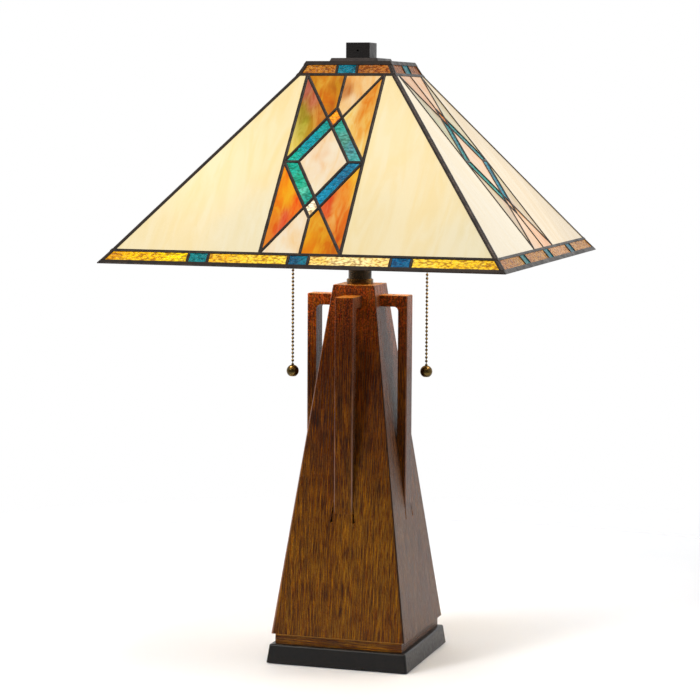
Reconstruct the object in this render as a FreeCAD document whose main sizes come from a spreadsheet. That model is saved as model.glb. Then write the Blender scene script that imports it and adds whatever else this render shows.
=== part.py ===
import FreeCAD, Part
import math
import os
import Sketcher
from FreeCAD import Matrix, Placement, Rotation, Vector

# Mission-style table lamp: tapered wooden column on a black plinth, two pull-chain sockets on a
# cluster, and a four-sided leaded-glass shade held down by a square finial.
# Millimetres, +Z up. The front looks along -Y. The origin is the centre of the underside.

DIMENSIONS = (
    # Base: felt, plinth, foot step and column
    ("felt_thickness", 1.0, "felt pad thickness"),
    ("felt_half", 71.5, "felt pad half width"),
    ("plinth_base_half", 75.4, "plinth half width at its foot"),
    ("plinth_top_half", 72.8, "plinth half width at its top"),
    ("plinth_top_z", 20.1, "height of the plinth's top"),
    ("plinth_edge_radius", 2.2, "rounding of the plinth's edges"),
    ("cavity_half", 60.0, "half width of the hollow under the plinth"),
    ("cavity_top_z", 14.5, "ceiling of the hollow under the plinth"),
    ("pipe_hole_radius", 5.4, "radius of the hole for the centre pipe"),
    ("inlet_z", 8.6, "height of the cord inlet's axis"),
    ("inlet_hole_radius", 5.0, "radius of the hole for the cord bushing"),
    ("bushing_bore_radius", 3.5, "radius of the cord bushing's bore"),
    ("bushing_flange_radius", 6.6, "radius of the bushing's flange"),
    ("bushing_flange_y", 75.5, "inner face of the bushing's flange"),
    ("bushing_flange_thickness", 1.5, "thickness of the bushing's flange"),
    ("step_half", 67.7, "foot step half width"),
    ("step_top_z", 30.8, "height of the foot step's top"),
    ("column_base_half", 71.2, "column half width at its foot"),
    ("column_top_half", 22.2, "column half width at its top"),
    ("column_top_z", 388.3, "height of the column's top"),
    ("column_edge_radius", 1.2, "rounding of the column's long edges"),
    ("notch_top_z", 174.0, "top of the carved notch beside a strap's foot"),
    ("notch_low_z", 147.0, "bottom of the carved notch"),
    ("notch_spread", 3.6, "how far the notch strays from the strap's edge"),
    ("notch_width", 2.6, "width of the notch at its bottom"),
    ("notch_floor", 51.0, "distance of the notch's floor from the axis"),
    # Straps
    ("strap_half_width", 9.8, "strap half width"),
    ("strap_outer", 54.0, "distance of a strap's outer face from the axis"),
    ("strap_inner", 44.1, "distance of a strap's inner face from the axis"),
    ("strap_top_z", 378.0, "height of a strap's top"),
    ("strap_arm_height", 11.6, "height of a strap's arm"),
    ("strap_corner_radius", 4.5, "fillet in the strap's inner corner"),
    ("strap_edge_radius", 1.1, "rounding of a strap's outer edges"),
    # Neck and centre hardware
    ("pipe_radius", 4.9, "centre pipe outer radius"),
    ("pipe_bore_radius", 3.5, "centre pipe bore radius"),
    ("pipe_low_z", 5.0, "lower end of the centre pipe"),
    ("pipe_top_z", 436.0, "upper end of the centre pipe"),
    ("washer_radius", 15.0, "bottom washer radius"),
    ("washer_thickness", 1.5, "bottom washer thickness"),
    ("nut_circumradius", 9.0, "bottom nut radius over its corners"),
    ("nut_height", 4.5, "bottom nut height"),
    ("ring_radius", 13.8, "neck ring radius"),
    ("ring_top_z", 393.7, "height of the neck ring's top"),
    ("ring_edge", 0.9, "bevel on the neck ring's top edge"),
    ("neck_radius", 11.95, "neck tube outer radius"),
    ("neck_wall", 1.0, "neck tube wall"),
    ("cluster_low_z", 428.0, "height of the cluster cup's underside"),
    ("cluster_radius", 20.0, "cluster cup radius"),
    ("cluster_wall", 1.5, "cluster cup wall"),
    ("cluster_bevel", 4.0, "bevel round the cluster cup's underside"),
    ("cluster_top_z", 457.0, "height of the cluster cup's rim"),
    ("cluster_cap_height", 5.0, "height of the cluster's cap"),
    ("cluster_cap_lip", 1.0, "how far the cluster's cap overhangs its cup"),
    ("riser_grip", 4.0, "how far the riser rod reaches into the cluster"),
    ("riser_radius", 3.1, "riser rod radius"),
    ("riser_top_z", 631.0, "upper end of the riser rod"),
    ("seat_radius", 15.0, "radius of the disc that the shade sits on"),
    ("seat_thickness", 3.0, "thickness of that disc"),
    ("seat_gap", 0.1, "running gap over and under the shade's cap"),
    # Sockets and bulbs, along the cluster's own horizontal axis
    ("cluster_turn", 17.4, "angle of the cluster about the lamp's axis"),
    ("socket_z", 446.0, "height of the socket axis"),
    ("arm_radius", 5.0, "socket arm radius"),
    ("arm_bore_radius", 3.5, "socket arm bore radius"),
    ("socket_cap_x", 46.0, "start of the socket cap, from the lamp's axis"),
    ("socket_seam_x", 61.0, "seam between the socket's cap and shell"),
    ("socket_mouth_x", 100.0, "mouth of the socket"),
    ("socket_radius", 17.0, "socket shell radius"),
    ("socket_wall", 0.8, "socket shell wall"),
    ("liner_wall", 0.9, "insulating liner wall"),
    ("screw_radius", 14.2, "screw shell outer radius"),
    ("screw_bore_radius", 13.45, "screw shell bore radius"),
    ("screw_low_x", 79.0, "inner end of the screw shell"),
    ("core_low_x", 59.0, "inner end of the socket's insulating core"),
    ("core_radius", 14.8, "radius of the socket's insulating core"),
    ("chain_x", 69.2, "distance of a pull chain from the lamp's axis"),
    ("cam_radius", 6.0, "switch cam radius"),
    ("cam_thickness", 6.0, "switch cam thickness"),
    ("cam_clearance", 0.6, "room round the switch cam"),
    ("cam_pin_radius", 1.2, "switch cam pin radius"),
    ("cam_pin_gap", 0.05, "running clearance of the cam's pin"),
    ("bulb_base_radius", 13.1, "bulb screw base radius over its thread"),
    ("bulb_base_x", 82.0, "inner end of the bulb's screw base"),
    ("bulb_collar_x", 103.0, "joint between the bulb's base and glass"),
    ("bulb_radius", 24.0, "bulb radius"),
    ("bulb_tip_x", 165.0, "tip of the bulb, from the lamp's axis"),
    # Pull chains
    ("guide_low_z", 422.0, "lower end of the chain's bell guide"),
    ("pull_wire_radius", 0.8, "radius of the pull wire in the socket"),
    ("pull_wire_top_z", 440.5, "upper end of the pull wire"),
    ("bead_radius", 1.45, "chain bead radius"),
    ("bead_pitch", 3.9, "distance between chain beads"),
    ("link_radius", 0.45, "radius of the wire between beads"),
    ("first_bead_z", 417.5, "height of the topmost bead"),
    ("beads_upper", 12, "beads above the chain's bend"),
    ("beads_lower", 17, "beads below the chain's bend"),
    ("link_gap", 0.25, "gap between the chain's two hinged lengths"),
    ("ball_radius", 6.4, "radius of the chain's end ball"),
    ("ball_z", 297.6, "height of the end ball's centre"),
    ("ball_foot", 5.6, "distance of the end ball's flat underside below its centre"),
    ("ball_neck_radius", 1.4, "radius of the end ball's neck"),
    # Shade: four identical sides in three tiers
    ("rim_half", 203.5, "half width of the shade at its lower rim"),
    ("rim_z", 418.3, "height of that rim"),
    ("eave_half", 193.2, "half width at the lower fold"),
    ("eave_z", 430.2, "height of the lower fold"),
    ("brow_half", 51.1, "half width at the upper fold"),
    ("brow_z", 602.1, "height of the upper fold"),
    ("crown_half", 43.8, "half width at the shade's top edge"),
    ("crown_z", 615.6, "height of the shade's top edge"),
    ("glass_thickness", 3.0, "glass thickness"),
    ("came_proud", 0.75, "how far the solder lines stand out of the glass"),
    ("hip_leg", 4.15, "width of a corner came along each side, measured level"),
    ("hip_proud", 1.0, "how far a corner came stands out of the glass, measured level"),
    ("eave_came_up", 0.6, "lower fold came, above the fold"),
    ("eave_came_down", 2.4, "lower fold came, below the fold"),
    ("brow_came_down", 2.0, "upper fold came, below the fold"),
    ("brow_came_up", 1.5, "upper fold came, above the fold"),
    ("rim_glass_height", 10.2, "height of the glass in the lower border"),
    ("rim_channel_low_z", 416.8, "height of the flat underside of the channel round the rim"),
    ("rim_channel_lip", 0.9, "height of the upright lip at the rim channel's foot"),
    ("rim_channel_proud", 0.4, "how far the rim channel stands out of the glass"),
    ("crown_glass_height", 9.2, "height of the glass in the upper border"),
    ("band_half", 40.5, "half width of the patterned band, to its line"),
    ("band_line", 3.5, "width of the band's upright solder lines"),
    ("pattern_line", 3.2, "width of the pattern's solder lines"),
    ("outer_diamond_half", 68.5, "half height of the outer diamond"),
    ("inner_diamond_half", 43.0, "half height of the inner diamond"),
    ("divider_width", 3.0, "width of the solder lines in the borders"),
    ("rim_teal_width", 17.5, "width of a teal piece in the lower border"),
    ("rim_teal_offset", 101.7, "distance of the outer teal pieces from the middle"),
    ("crown_teal_width", 18.0, "width of the teal piece in the upper border"),
    # Cap and finial
    ("cap_half", 38.0, "half width of the cap's flat sheet"),
    ("cap_thickness", 2.0, "thickness of the cap's sheet"),
    ("boss_base_half", 26.0, "half width of the cap's boss at its foot"),
    ("boss_top_half", 24.2, "half width of the cap's boss at its top"),
    ("boss_top_z", 619.1, "height of the cap boss's top"),
    ("cap_hole_radius", 3.5, "radius of the rod hole in the cap"),
    ("vent_radius", 2.5, "radius of a vent hole in the cap"),
    ("vent_ring_half", 32.0, "distance of the vent holes from the axis, level"),
    ("finial_half", 12.6, "finial half width"),
    ("finial_edge", 0.5, "bevel on the finial's edges"),
    ("finial_bore_radius", 3.15, "radius of the finial's bore"),
    ("finial_bore_top_z", 632.0, "blind end of the finial's bore"),
    ("set_screw_radius", 1.1, "radius of the finial's set-screw hole"),
    ("lamp_height", 635.0, "overall height"),
)

FULL_TURN = 360.0
SIDES = (0.0, 90.0, 180.0, 270.0)
SIDE_NAMES = ("front", "right", "back", "left")

doc = FreeCAD.newDocument("TableLamp")
sheet = doc.addObject("Spreadsheet::Sheet", "Dims")
for row, (alias, value, meaning) in enumerate(DIMENSIONS, start=1):
    sheet.set(f"A{row}", meaning)
    sheet.set(f"B{row}", str(value))
    sheet.setAlias(f"B{row}", alias)
doc.recompute()

sub_parts = []

# Sketch geometry is drawn roughly first; the constraints then pull it into place.
ROUGH_LINE = (Vector(1, 2, 0), Vector(9, 11, 0))
ROUGH_CENTRE = Vector(5, 7, 0)
ROUGH_RADIUS = 3.0
ROUGH_OUTLINE_RADIUS = 30.0
ROUGH_OUTLINE_PHASE = 0.37


def dim(alias):
    """A driving dimension's value, read back from the sheet."""
    return float(sheet.get(alias))


# ---------------------------------------------------------------- helpers for parametric bodies

def keep(item, label):
    """Give a finished sub-part its label and put it on the list to write out."""
    item.Label = label
    sub_parts.append(item)
    return item


def new_body(label, turn=None):
    """A PartDesign body, turned about the lamp's axis by an expression in degrees."""
    body = doc.addObject("PartDesign::Body", label)
    body.AllowCompound = True
    if turn is not None:
        body.Placement = Placement(Vector(), Rotation(Vector(0, 0, 1), 1.0))
        body.setExpression("Placement.Rotation.Angle", turn)
    return keep(body, label)


def origin_item(body, role):
    """One of the body's own origin planes or axes."""
    return next(item for item in body.Origin.OriginFeatures if item.Role == role)


def new_sketch(body, name, role, offset=None):
    """A sketch on an origin plane, moved along its normal by an expression."""
    sketch = body.newObject("Sketcher::SketchObject", name)
    sketch.AttachmentSupport = [(origin_item(body, role), "")]
    sketch.MapMode = "FlatFace"
    if offset is not None:
        sketch.setExpression("AttachmentOffset.Base.z", offset)
    return sketch


def pin(sketch, geometry, point, across, up):
    """Pin a point of the sketch at two expressions, measured from the sketch's origin."""
    place = sketch.getPoint(geometry, point)
    for kind, start, target in (("DistanceX", place.x, across), ("DistanceY", place.y, up)):
        index = sketch.addConstraint(Sketcher.Constraint(kind, -1, 1, geometry, point, start))
        sketch.setExpression(f"Constraints[{index}]", target)


def outline(sketch, corners):
    """A closed outline whose corners are pinned at pairs of expressions."""
    count = len(corners)
    ring = []
    for number in range(count):
        angle = ROUGH_OUTLINE_PHASE + 2 * math.pi * number / count
        ring.append(Vector(math.cos(angle), math.sin(angle), 0) * ROUGH_OUTLINE_RADIUS)
    first = sketch.GeometryCount
    for number in range(count):
        sketch.addGeometry(Part.LineSegment(ring[number], ring[(number + 1) % count]), False)
    for number in range(count):
        following = first + (number + 1) % count
        sketch.addConstraint(Sketcher.Constraint("Coincident", first + number, 2, following, 1))
    for number, (across, up) in enumerate(corners):
        pin(sketch, first + number, 1, across, up)


def circle(sketch, radius, across, up):
    """A circle with its radius and centre bound to expressions."""
    rough = Part.Circle(ROUGH_CENTRE, Vector(0, 0, 1), ROUGH_RADIUS)
    index = sketch.addGeometry(rough, False)
    size = sketch.addConstraint(Sketcher.Constraint("Radius", index, ROUGH_RADIUS))
    sketch.setExpression(f"Constraints[{size}]", radius)
    pin(sketch, index, 3, across, up)


def square(sketch, half):
    """A square centred on the sketch's origin."""
    low = f"-({half})"
    outline(sketch, ((low, low), (half, low), (half, half), (low, half)))


def feature(body, kind, name, profile):
    """A sketch-based feature of the body, made its tip."""
    item = body.newObject(f"PartDesign::{kind}", name)
    item.Profile = profile
    profile.Visibility = False
    body.Tip = item
    return item


def pad(body, name, sketch, length, symmetric=False):
    """Pad a sketch by an expression, to one side or evenly to both."""
    item = feature(body, "Pad", name, sketch)
    item.setExpression("Length", length)
    if symmetric:
        item.SideType = "Symmetric"
    return item


def pocket(body, name, sketch, length, forward=False):
    """Cut a sketch away, against its normal or along it, and make sure that material went."""
    doc.recompute()
    before = body.Shape.Volume
    item = feature(body, "Pocket", name, sketch)
    item.setExpression("Length", length)
    item.Reversed = forward
    doc.recompute()
    if body.Shape.Volume >= before:
        raise RuntimeError(f"{name} cuts nothing")
    return item


def frustum(body, name, low_half, high_half, low_z, high_z):
    """A square block between two heights whose flat sides lean, bound to four expressions."""
    item = body.newObject("PartDesign::AdditiveWedge", name)
    item.Placement = Placement(Vector(), Rotation(Vector(1, 0, 0), 90.0))
    item.setExpression("Ymin", low_z)
    item.setExpression("Ymax", high_z)
    for bound, half in (("", low_half), ("2", high_half)):
        for across in ("X", "Z"):
            item.setExpression(f"{across}{bound}max", half)
            item.setExpression(f"{across}{bound}min", f"-({half})")
    body.Tip = item
    return item


def picked_edges(item, wanted):
    """Names of the feature's edges whose middle and direction satisfy a test."""
    doc.recompute()
    names = []
    for number, edge in enumerate(item.Shape.Edges, start=1):
        ends = edge.Vertexes
        if len(ends) == 2 and wanted(edge.CenterOfMass, ends[1].Point - ends[0].Point):
            names.append(f"Edge{number}")
    if not names:
        raise RuntimeError(f"no edge of {item.Name} was picked")
    return names


def dress(body, kind, name, base, wanted, size):
    """Fillet or chamfer the picked edges by an expression."""
    names = picked_edges(base, wanted)
    item = body.newObject(f"PartDesign::{kind}", name)
    item.Base = (base, names)
    item.setExpression("Radius" if kind == "Fillet" else "Size", size)
    body.Tip = item
    return item


def polar(body, name, originals, count):
    """Repeat features evenly about the lamp's axis."""
    item = body.newObject("PartDesign::PolarPattern", name)
    item.Originals = originals
    item.Axis = (origin_item(body, "Z_Axis"), [""])
    item.Angle = FULL_TURN
    item.Occurrences = count
    body.Tip = item
    return item


def turned(label, corners, axis="lamp", turn=None):
    """A body turned from an outline in the XZ plane: about the lamp's axis, or about a line."""
    body = new_body(label, turn)
    sketch = new_sketch(body, f"{label}_outline", "XZ_Plane")
    outline(sketch, corners)
    spin = feature(body, "Revolution", f"{label}_spin", sketch)
    if axis == "lamp":
        spin.ReferenceAxis = (sketch, ["V_Axis"])
    else:
        line = sketch.addGeometry(Part.LineSegment(*ROUGH_LINE), True)
        for point, (across, up) in enumerate(axis, start=1):
            pin(sketch, line, point, across, up)
        spin.ReferenceAxis = (sketch, ["Axis0"])
    spin.Angle = FULL_TURN
    return body, spin


def ring_outline(inner, outer, low, high):
    """Corners of a plain ring or tube, as expressions."""
    return ((inner, low), (outer, low), (outer, high), (inner, high))


SOCKET_AXIS = (("0", "Dims.socket_z"), ("Dims.socket_mouth_x", "Dims.socket_z"))
CHAIN_AXIS = (("Dims.chain_x", "Dims.guide_low_z"), ("Dims.chain_x", "Dims.socket_z"))


def socket_part(label, corners, axis=SOCKET_AXIS, chain_hole=None):
    """A part that both sockets have: one is turned, and the other is its half-turn copy."""
    body, spin = turned(label, corners, axis, "Dims.cluster_turn")
    repeated = [spin]
    if chain_hole is not None:
        sketch = new_sketch(body, f"{label}_chain_hole", "XY_Plane", "Dims.socket_z")
        circle(sketch, chain_hole, "Dims.chain_x", "0")
        repeated.append(pocket(body, f"{label}_chain_way", sketch, "Dims.socket_radius * 2"))
    polar(body, f"{label}_pair", repeated, 2)
    return body


# ---------------------------------------------------------------- base

def make_felt_pad():
    """Square of felt under the plinth."""
    felt = keep(doc.addObject("Part::Box", "felt_pad"), "felt_pad")
    felt.setExpression("Length", "Dims.felt_half * 2")
    felt.setExpression("Width", "Dims.felt_half * 2")
    felt.setExpression("Height", "Dims.felt_thickness")
    felt.setExpression("Placement.Base.x", "-Dims.felt_half")
    felt.setExpression("Placement.Base.y", "-Dims.felt_half")


def make_plinth():
    """Black plinth: leaning sides, soft edges, hollow below, holes for the pipe and the cord."""
    body = new_body("plinth")
    block = frustum(body, "plinth_block", "Dims.plinth_base_half", "Dims.plinth_top_half",
                    "Dims.felt_thickness", "Dims.plinth_top_z")
    middle = (dim("felt_thickness") + dim("plinth_top_z")) / 2
    dress(body, "Fillet", "plinth_soft_edges", block, lambda at, along: at.z > middle - 1,
          "Dims.plinth_edge_radius")
    hollow = new_sketch(body, "plinth_hollow", "XY_Plane", "Dims.felt_thickness")
    square(hollow, "Dims.cavity_half")
    pocket(body, "plinth_cavity", hollow, "Dims.cavity_top_z - Dims.felt_thickness", forward=True)
    hole = new_sketch(body, "plinth_pipe_hole", "XY_Plane")
    circle(hole, "Dims.pipe_hole_radius", "0", "0")
    pocket(body, "plinth_pipe_way", hole, "Dims.step_top_z", forward=True)
    inlet = new_sketch(body, "plinth_inlet", "XZ_Plane")
    circle(inlet, "Dims.inlet_hole_radius", "0", "Dims.inlet_z")
    pocket(body, "plinth_inlet_way", inlet, "Dims.plinth_base_half * 2")


def make_cord_bushing():
    """Bushing that the supply cord enters through, in the middle of the plinth's back."""
    body = new_body("cord_bushing")
    low = "Dims.cavity_half - 1"
    face = "Dims.bushing_flange_y"
    rim = "Dims.bushing_flange_y + Dims.bushing_flange_thickness"
    sketch = new_sketch(body, "cord_bushing_outline", "YZ_Plane")
    outline(sketch, (
        (low, "Dims.inlet_z + Dims.bushing_bore_radius"),
        (rim, "Dims.inlet_z + Dims.bushing_bore_radius"),
        (rim, "Dims.inlet_z + Dims.bushing_flange_radius"),
        (face, "Dims.inlet_z + Dims.bushing_flange_radius"),
        (face, "Dims.inlet_z + Dims.inlet_hole_radius"),
        (low, "Dims.inlet_z + Dims.inlet_hole_radius"),
    ))
    line = sketch.addGeometry(Part.LineSegment(*ROUGH_LINE), True)
    pin(sketch, line, 1, "0", "Dims.inlet_z")
    pin(sketch, line, 2, face, "Dims.inlet_z")
    spin = feature(body, "Revolution", "cord_bushing_spin", sketch)
    spin.ReferenceAxis = (sketch, ["Axis0"])
    spin.Angle = FULL_TURN


def make_foot_step():
    """Low wooden step that sets the column back from the plinth."""
    body = new_body("foot_step")
    sketch = new_sketch(body, "foot_step_square", "XY_Plane", "Dims.plinth_top_z")
    square(sketch, "Dims.step_half")
    pad(body, "foot_step_block", sketch, "Dims.step_top_z - Dims.plinth_top_z")
    hole = new_sketch(body, "foot_step_pipe_hole", "XY_Plane")
    circle(hole, "Dims.pipe_hole_radius", "0", "0")
    pocket(body, "foot_step_pipe_way", hole, "Dims.step_top_z * 2", forward=True)


def make_column():
    """Tapered square column with a pipe bore and a carved notch each side of every strap."""
    body = new_body("column")
    block = frustum(body, "column_block", "Dims.column_base_half", "Dims.column_top_half",
                    "Dims.step_top_z", "Dims.column_top_z")
    dress(body, "Fillet", "column_soft_edges", block,
          lambda at, along: abs(along.z) > dim("column_top_z") / 2, "Dims.column_edge_radius")
    hole = new_sketch(body, "column_pipe_hole", "XY_Plane")
    circle(hole, "Dims.pipe_hole_radius", "0", "0")
    pocket(body, "column_pipe_way", hole, "Dims.column_top_z * 2", forward=True)
    notches = []
    for name, sign in (("right", ""), ("left", "-")):
        sketch = new_sketch(body, f"column_notch_{name}", "XZ_Plane", "Dims.notch_floor")
        outline(sketch, (
            (f"{sign}Dims.strap_half_width", "Dims.notch_top_z"),
            (f"{sign}(Dims.strap_half_width + Dims.notch_spread)", "Dims.notch_low_z"),
            (f"{sign}(Dims.strap_half_width + Dims.notch_spread - Dims.notch_width)",
             "Dims.notch_low_z"),
        ))
        notches.append(pocket(body, f"column_notch_{name}_cut", sketch,
                              "Dims.column_base_half", forward=True))
    polar(body, "column_notches", notches, len(SIDES))


def make_strap(name, turn):
    """Upright strap with an arm at its top; its back edges lie on the column's sloping face."""
    body = new_body(f"strap_{name}", f"{turn}")
    slope = ("(Dims.column_base_half - Dims.column_top_half)"
             " / (Dims.column_top_z - Dims.step_top_z)")
    arm_z = "Dims.strap_top_z - Dims.strap_arm_height"

    def face_at(height):
        return f"Dims.column_base_half - {slope} * ({height} - Dims.step_top_z)"

    def height_of(distance):
        return f"Dims.step_top_z + (Dims.column_base_half - {distance}) / ({slope})"

    sketch = new_sketch(body, f"strap_{name}_outline", "XZ_Plane")
    outline(sketch, (
        ("Dims.strap_outer", height_of("Dims.strap_outer")),
        ("Dims.strap_outer", "Dims.strap_top_z"),
        (face_at("Dims.strap_top_z"), "Dims.strap_top_z"),
        (face_at(f"({arm_z})"), arm_z),
        ("Dims.strap_inner", arm_z),
        ("Dims.strap_inner", height_of("Dims.strap_inner")),
    ))
    bar = pad(body, f"strap_{name}_bar", sketch, "Dims.strap_half_width * 2", symmetric=True)
    inner = dim("strap_inner")
    arm_height = dim("strap_top_z") - dim("strap_arm_height")
    corner = dress(body, "Fillet", f"strap_{name}_corner", bar,
                   lambda at, along: abs(at.x - inner) < 0.1 and abs(at.z - arm_height) < 0.1,
                   "Dims.strap_corner_radius")
    outer = dim("strap_outer")
    top = dim("strap_top_z")

    def on_show(at, along):
        upright = abs(at.x - outer) < 0.1 and abs(along.z) > 1
        return upright or (abs(at.z - top) < 0.1 and at.x > dim("column_top_half") + 2)

    dress(body, "Fillet", f"strap_{name}_soft_edges", corner, on_show, "Dims.strap_edge_radius")


# ---------------------------------------------------------------- neck, cluster and riser

def make_centre_hardware():
    """Pipe, washer, neck, cluster, riser rod and shade seat, all turned about the lamp's axis."""
    turned("centre_pipe", ring_outline("Dims.pipe_bore_radius", "Dims.pipe_radius",
                                       "Dims.pipe_low_z", "Dims.pipe_top_z"))
    turned("bottom_washer", ring_outline("Dims.pipe_radius", "Dims.washer_radius",
                                         "Dims.cavity_top_z - Dims.washer_thickness",
                                         "Dims.cavity_top_z"))
    turned("neck_ring", (
        ("Dims.pipe_radius", "Dims.column_top_z"),
        ("Dims.ring_radius", "Dims.column_top_z"),
        ("Dims.ring_radius", "Dims.ring_top_z - Dims.ring_edge"),
        ("Dims.ring_radius - Dims.ring_edge", "Dims.ring_top_z"),
        ("Dims.pipe_radius", "Dims.ring_top_z"),
    ))
    turned("neck_tube", ring_outline("Dims.neck_radius - Dims.neck_wall", "Dims.neck_radius",
                                     "Dims.ring_top_z", "Dims.cluster_low_z"))
    floor_z = "Dims.cluster_low_z + Dims.cluster_wall"
    turned("cluster_cup", (
        ("Dims.pipe_radius", "Dims.cluster_low_z"),
        ("Dims.cluster_radius - Dims.cluster_bevel", "Dims.cluster_low_z"),
        ("Dims.cluster_radius", "Dims.cluster_low_z + Dims.cluster_bevel"),
        ("Dims.cluster_radius", "Dims.cluster_top_z"),
        ("Dims.cluster_radius - Dims.cluster_wall", "Dims.cluster_top_z"),
        ("Dims.cluster_radius - Dims.cluster_wall", f"{floor_z} + Dims.cluster_bevel"),
        ("Dims.cluster_radius - Dims.cluster_wall - Dims.cluster_bevel", floor_z),
        ("Dims.pipe_radius", floor_z),
    ))
    lip = "Dims.cluster_radius + Dims.cluster_cap_lip"
    cap_top = "Dims.cluster_top_z + Dims.cluster_cap_height"
    turned("cluster_cap", (
        ("Dims.riser_radius", "Dims.cluster_top_z"),
        (lip, "Dims.cluster_top_z"),
        (lip, "Dims.cluster_top_z + Dims.cluster_wall"),
        ("Dims.cluster_radius * 0.7", f"{cap_top} - Dims.cluster_cap_lip"),
        ("Dims.cluster_radius * 0.35", cap_top),
        ("Dims.riser_radius", cap_top),
    ))
    turned("riser_rod", (
        ("0", "Dims.cluster_top_z - Dims.riser_grip"),
        ("Dims.riser_radius", "Dims.cluster_top_z - Dims.riser_grip"),
        ("Dims.riser_radius", "Dims.riser_top_z"),
        ("0", "Dims.riser_top_z"),
    ))
    seat_top = "Dims.boss_top_z - Dims.cap_thickness - Dims.seat_gap"
    turned("shade_seat", ring_outline("Dims.riser_radius", "Dims.seat_radius",
                                      f"{seat_top} - Dims.seat_thickness", seat_top))


def make_bottom_nut():
    """Hexagonal nut on the lower end of the centre pipe."""
    hexagon = doc.addObject("Part::Prism", "nut_hexagon")
    hexagon.Polygon = 6
    hexagon.setExpression("Circumradius", "Dims.nut_circumradius")
    hexagon.setExpression("Height", "Dims.nut_height")
    bore = doc.addObject("Part::Cylinder", "nut_bore")
    bore.setExpression("Radius", "Dims.pipe_radius")
    bore.setExpression("Height", "Dims.nut_height")
    nut = keep(doc.addObject("Part::Cut", "bottom_nut"), "bottom_nut")
    nut.Base = hexagon
    nut.Tool = bore
    nut.setExpression("Placement.Base.z",
                      "Dims.cavity_top_z - Dims.washer_thickness - Dims.nut_height")


def above_axis(radius):
    """Height of a point of a socket's outline at a radius from the socket's axis."""
    return f"Dims.socket_z + {radius}"


def make_cluster_arm_holes():
    """The cluster cup gets a round hole for each socket arm."""
    body = next(item for item in sub_parts if item.Label == "cluster_cup")
    sketch = new_sketch(body, "cluster_arm_hole", "YZ_Plane")
    circle(sketch, "Dims.arm_radius", "0", "Dims.socket_z")
    way = pocket(body, "cluster_arm_way", sketch, "Dims.cluster_radius * 2", forward=True)
    polar(body, "cluster_arm_ways", [way], 2)
    body.Placement = Placement(Vector(), Rotation(Vector(0, 0, 1), 1.0))
    body.setExpression("Placement.Rotation.Angle", "Dims.cluster_turn")


def make_sockets():
    """Everything in the two sockets that stays still."""
    wall = "Dims.socket_wall"
    outer = "Dims.socket_radius"
    socket_part("socket_arms", (
        ("Dims.cluster_radius - Dims.cluster_wall - 3", above_axis("Dims.arm_bore_radius")),
        ("Dims.socket_cap_x + 3", above_axis("Dims.arm_bore_radius")),
        ("Dims.socket_cap_x + 3", above_axis("Dims.arm_radius")),
        ("Dims.cluster_radius - Dims.cluster_wall - 3", above_axis("Dims.arm_radius")),
    ))
    socket_part("socket_caps", (
        ("Dims.socket_cap_x", above_axis("Dims.arm_radius")),
        ("Dims.socket_cap_x", above_axis("Dims.arm_radius + 4")),
        ("Dims.socket_cap_x + 5", above_axis(f"{outer} - 2")),
        ("Dims.socket_cap_x + 8", above_axis(f"{outer} + {wall}")),
        ("Dims.socket_seam_x", above_axis(f"{outer} + {wall}")),
        ("Dims.socket_seam_x", above_axis(f"{outer}")),
        ("Dims.socket_cap_x + 9", above_axis(f"{outer}")),
        ("Dims.socket_cap_x + 6", above_axis(f"{outer} - 3")),
        ("Dims.socket_cap_x + 1", above_axis("Dims.arm_radius + 3")),
        ("Dims.socket_cap_x + 1", above_axis("Dims.arm_radius")),
    ))
    socket_part("socket_shells", (
        ("Dims.socket_seam_x", above_axis(f"{outer} - {wall}")),
        ("Dims.socket_seam_x", above_axis(outer)),
        ("Dims.socket_mouth_x - 1.2", above_axis(outer)),
        ("Dims.socket_mouth_x - 1.2", above_axis(f"{outer} + {wall}")),
        ("Dims.socket_mouth_x", above_axis(f"{outer} + {wall}")),
        ("Dims.socket_mouth_x", above_axis(f"{outer} - {wall}")),
    ), chain_hole="Dims.pull_wire_radius + 1.2")
    liner_outer = f"{outer} - {wall}"
    socket_part("socket_liners", (
        ("Dims.socket_seam_x", above_axis(f"{liner_outer} - Dims.liner_wall")),
        ("Dims.socket_seam_x", above_axis(liner_outer)),
        ("Dims.socket_mouth_x - 1", above_axis(liner_outer)),
        ("Dims.socket_mouth_x - 1", above_axis(f"{liner_outer} - Dims.liner_wall")),
    ), chain_hole="Dims.pull_wire_radius + 1.2")
    socket_part("screw_shells", (
        ("Dims.screw_low_x", above_axis("Dims.screw_bore_radius - 4")),
        ("Dims.screw_low_x", above_axis("Dims.screw_radius")),
        ("Dims.socket_mouth_x - 1", above_axis("Dims.screw_radius")),
        ("Dims.socket_mouth_x - 1", above_axis("Dims.screw_bore_radius")),
        ("Dims.screw_low_x + 0.7", above_axis("Dims.screw_bore_radius")),
        ("Dims.screw_low_x + 0.7", above_axis("Dims.screw_bore_radius - 4")),
    ))
    socket_part("centre_contacts", (
        ("Dims.screw_low_x", above_axis("0")),
        ("Dims.screw_low_x", above_axis("4")),
        ("Dims.screw_low_x + 0.8", above_axis("4")),
        ("Dims.screw_low_x + 1.5", above_axis("1.5")),
        ("Dims.screw_low_x + 1.5", above_axis("0")),
    ))
    socket_part("chain_guides", (
        ("Dims.chain_x + 2", f"Dims.socket_z - {outer}"),
        ("Dims.chain_x + 3.2", f"Dims.socket_z - {outer}"),
        ("Dims.chain_x + 3.2", "Dims.guide_low_z + 2.4"),
        ("Dims.chain_x + 4.4", "Dims.guide_low_z"),
        ("Dims.chain_x + 3.4", "Dims.guide_low_z"),
        ("Dims.chain_x + 2", "Dims.guide_low_z + 2.8"),
    ), axis=CHAIN_AXIS)


# ---------------------------------------------------------------- shapes made by functions

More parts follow.
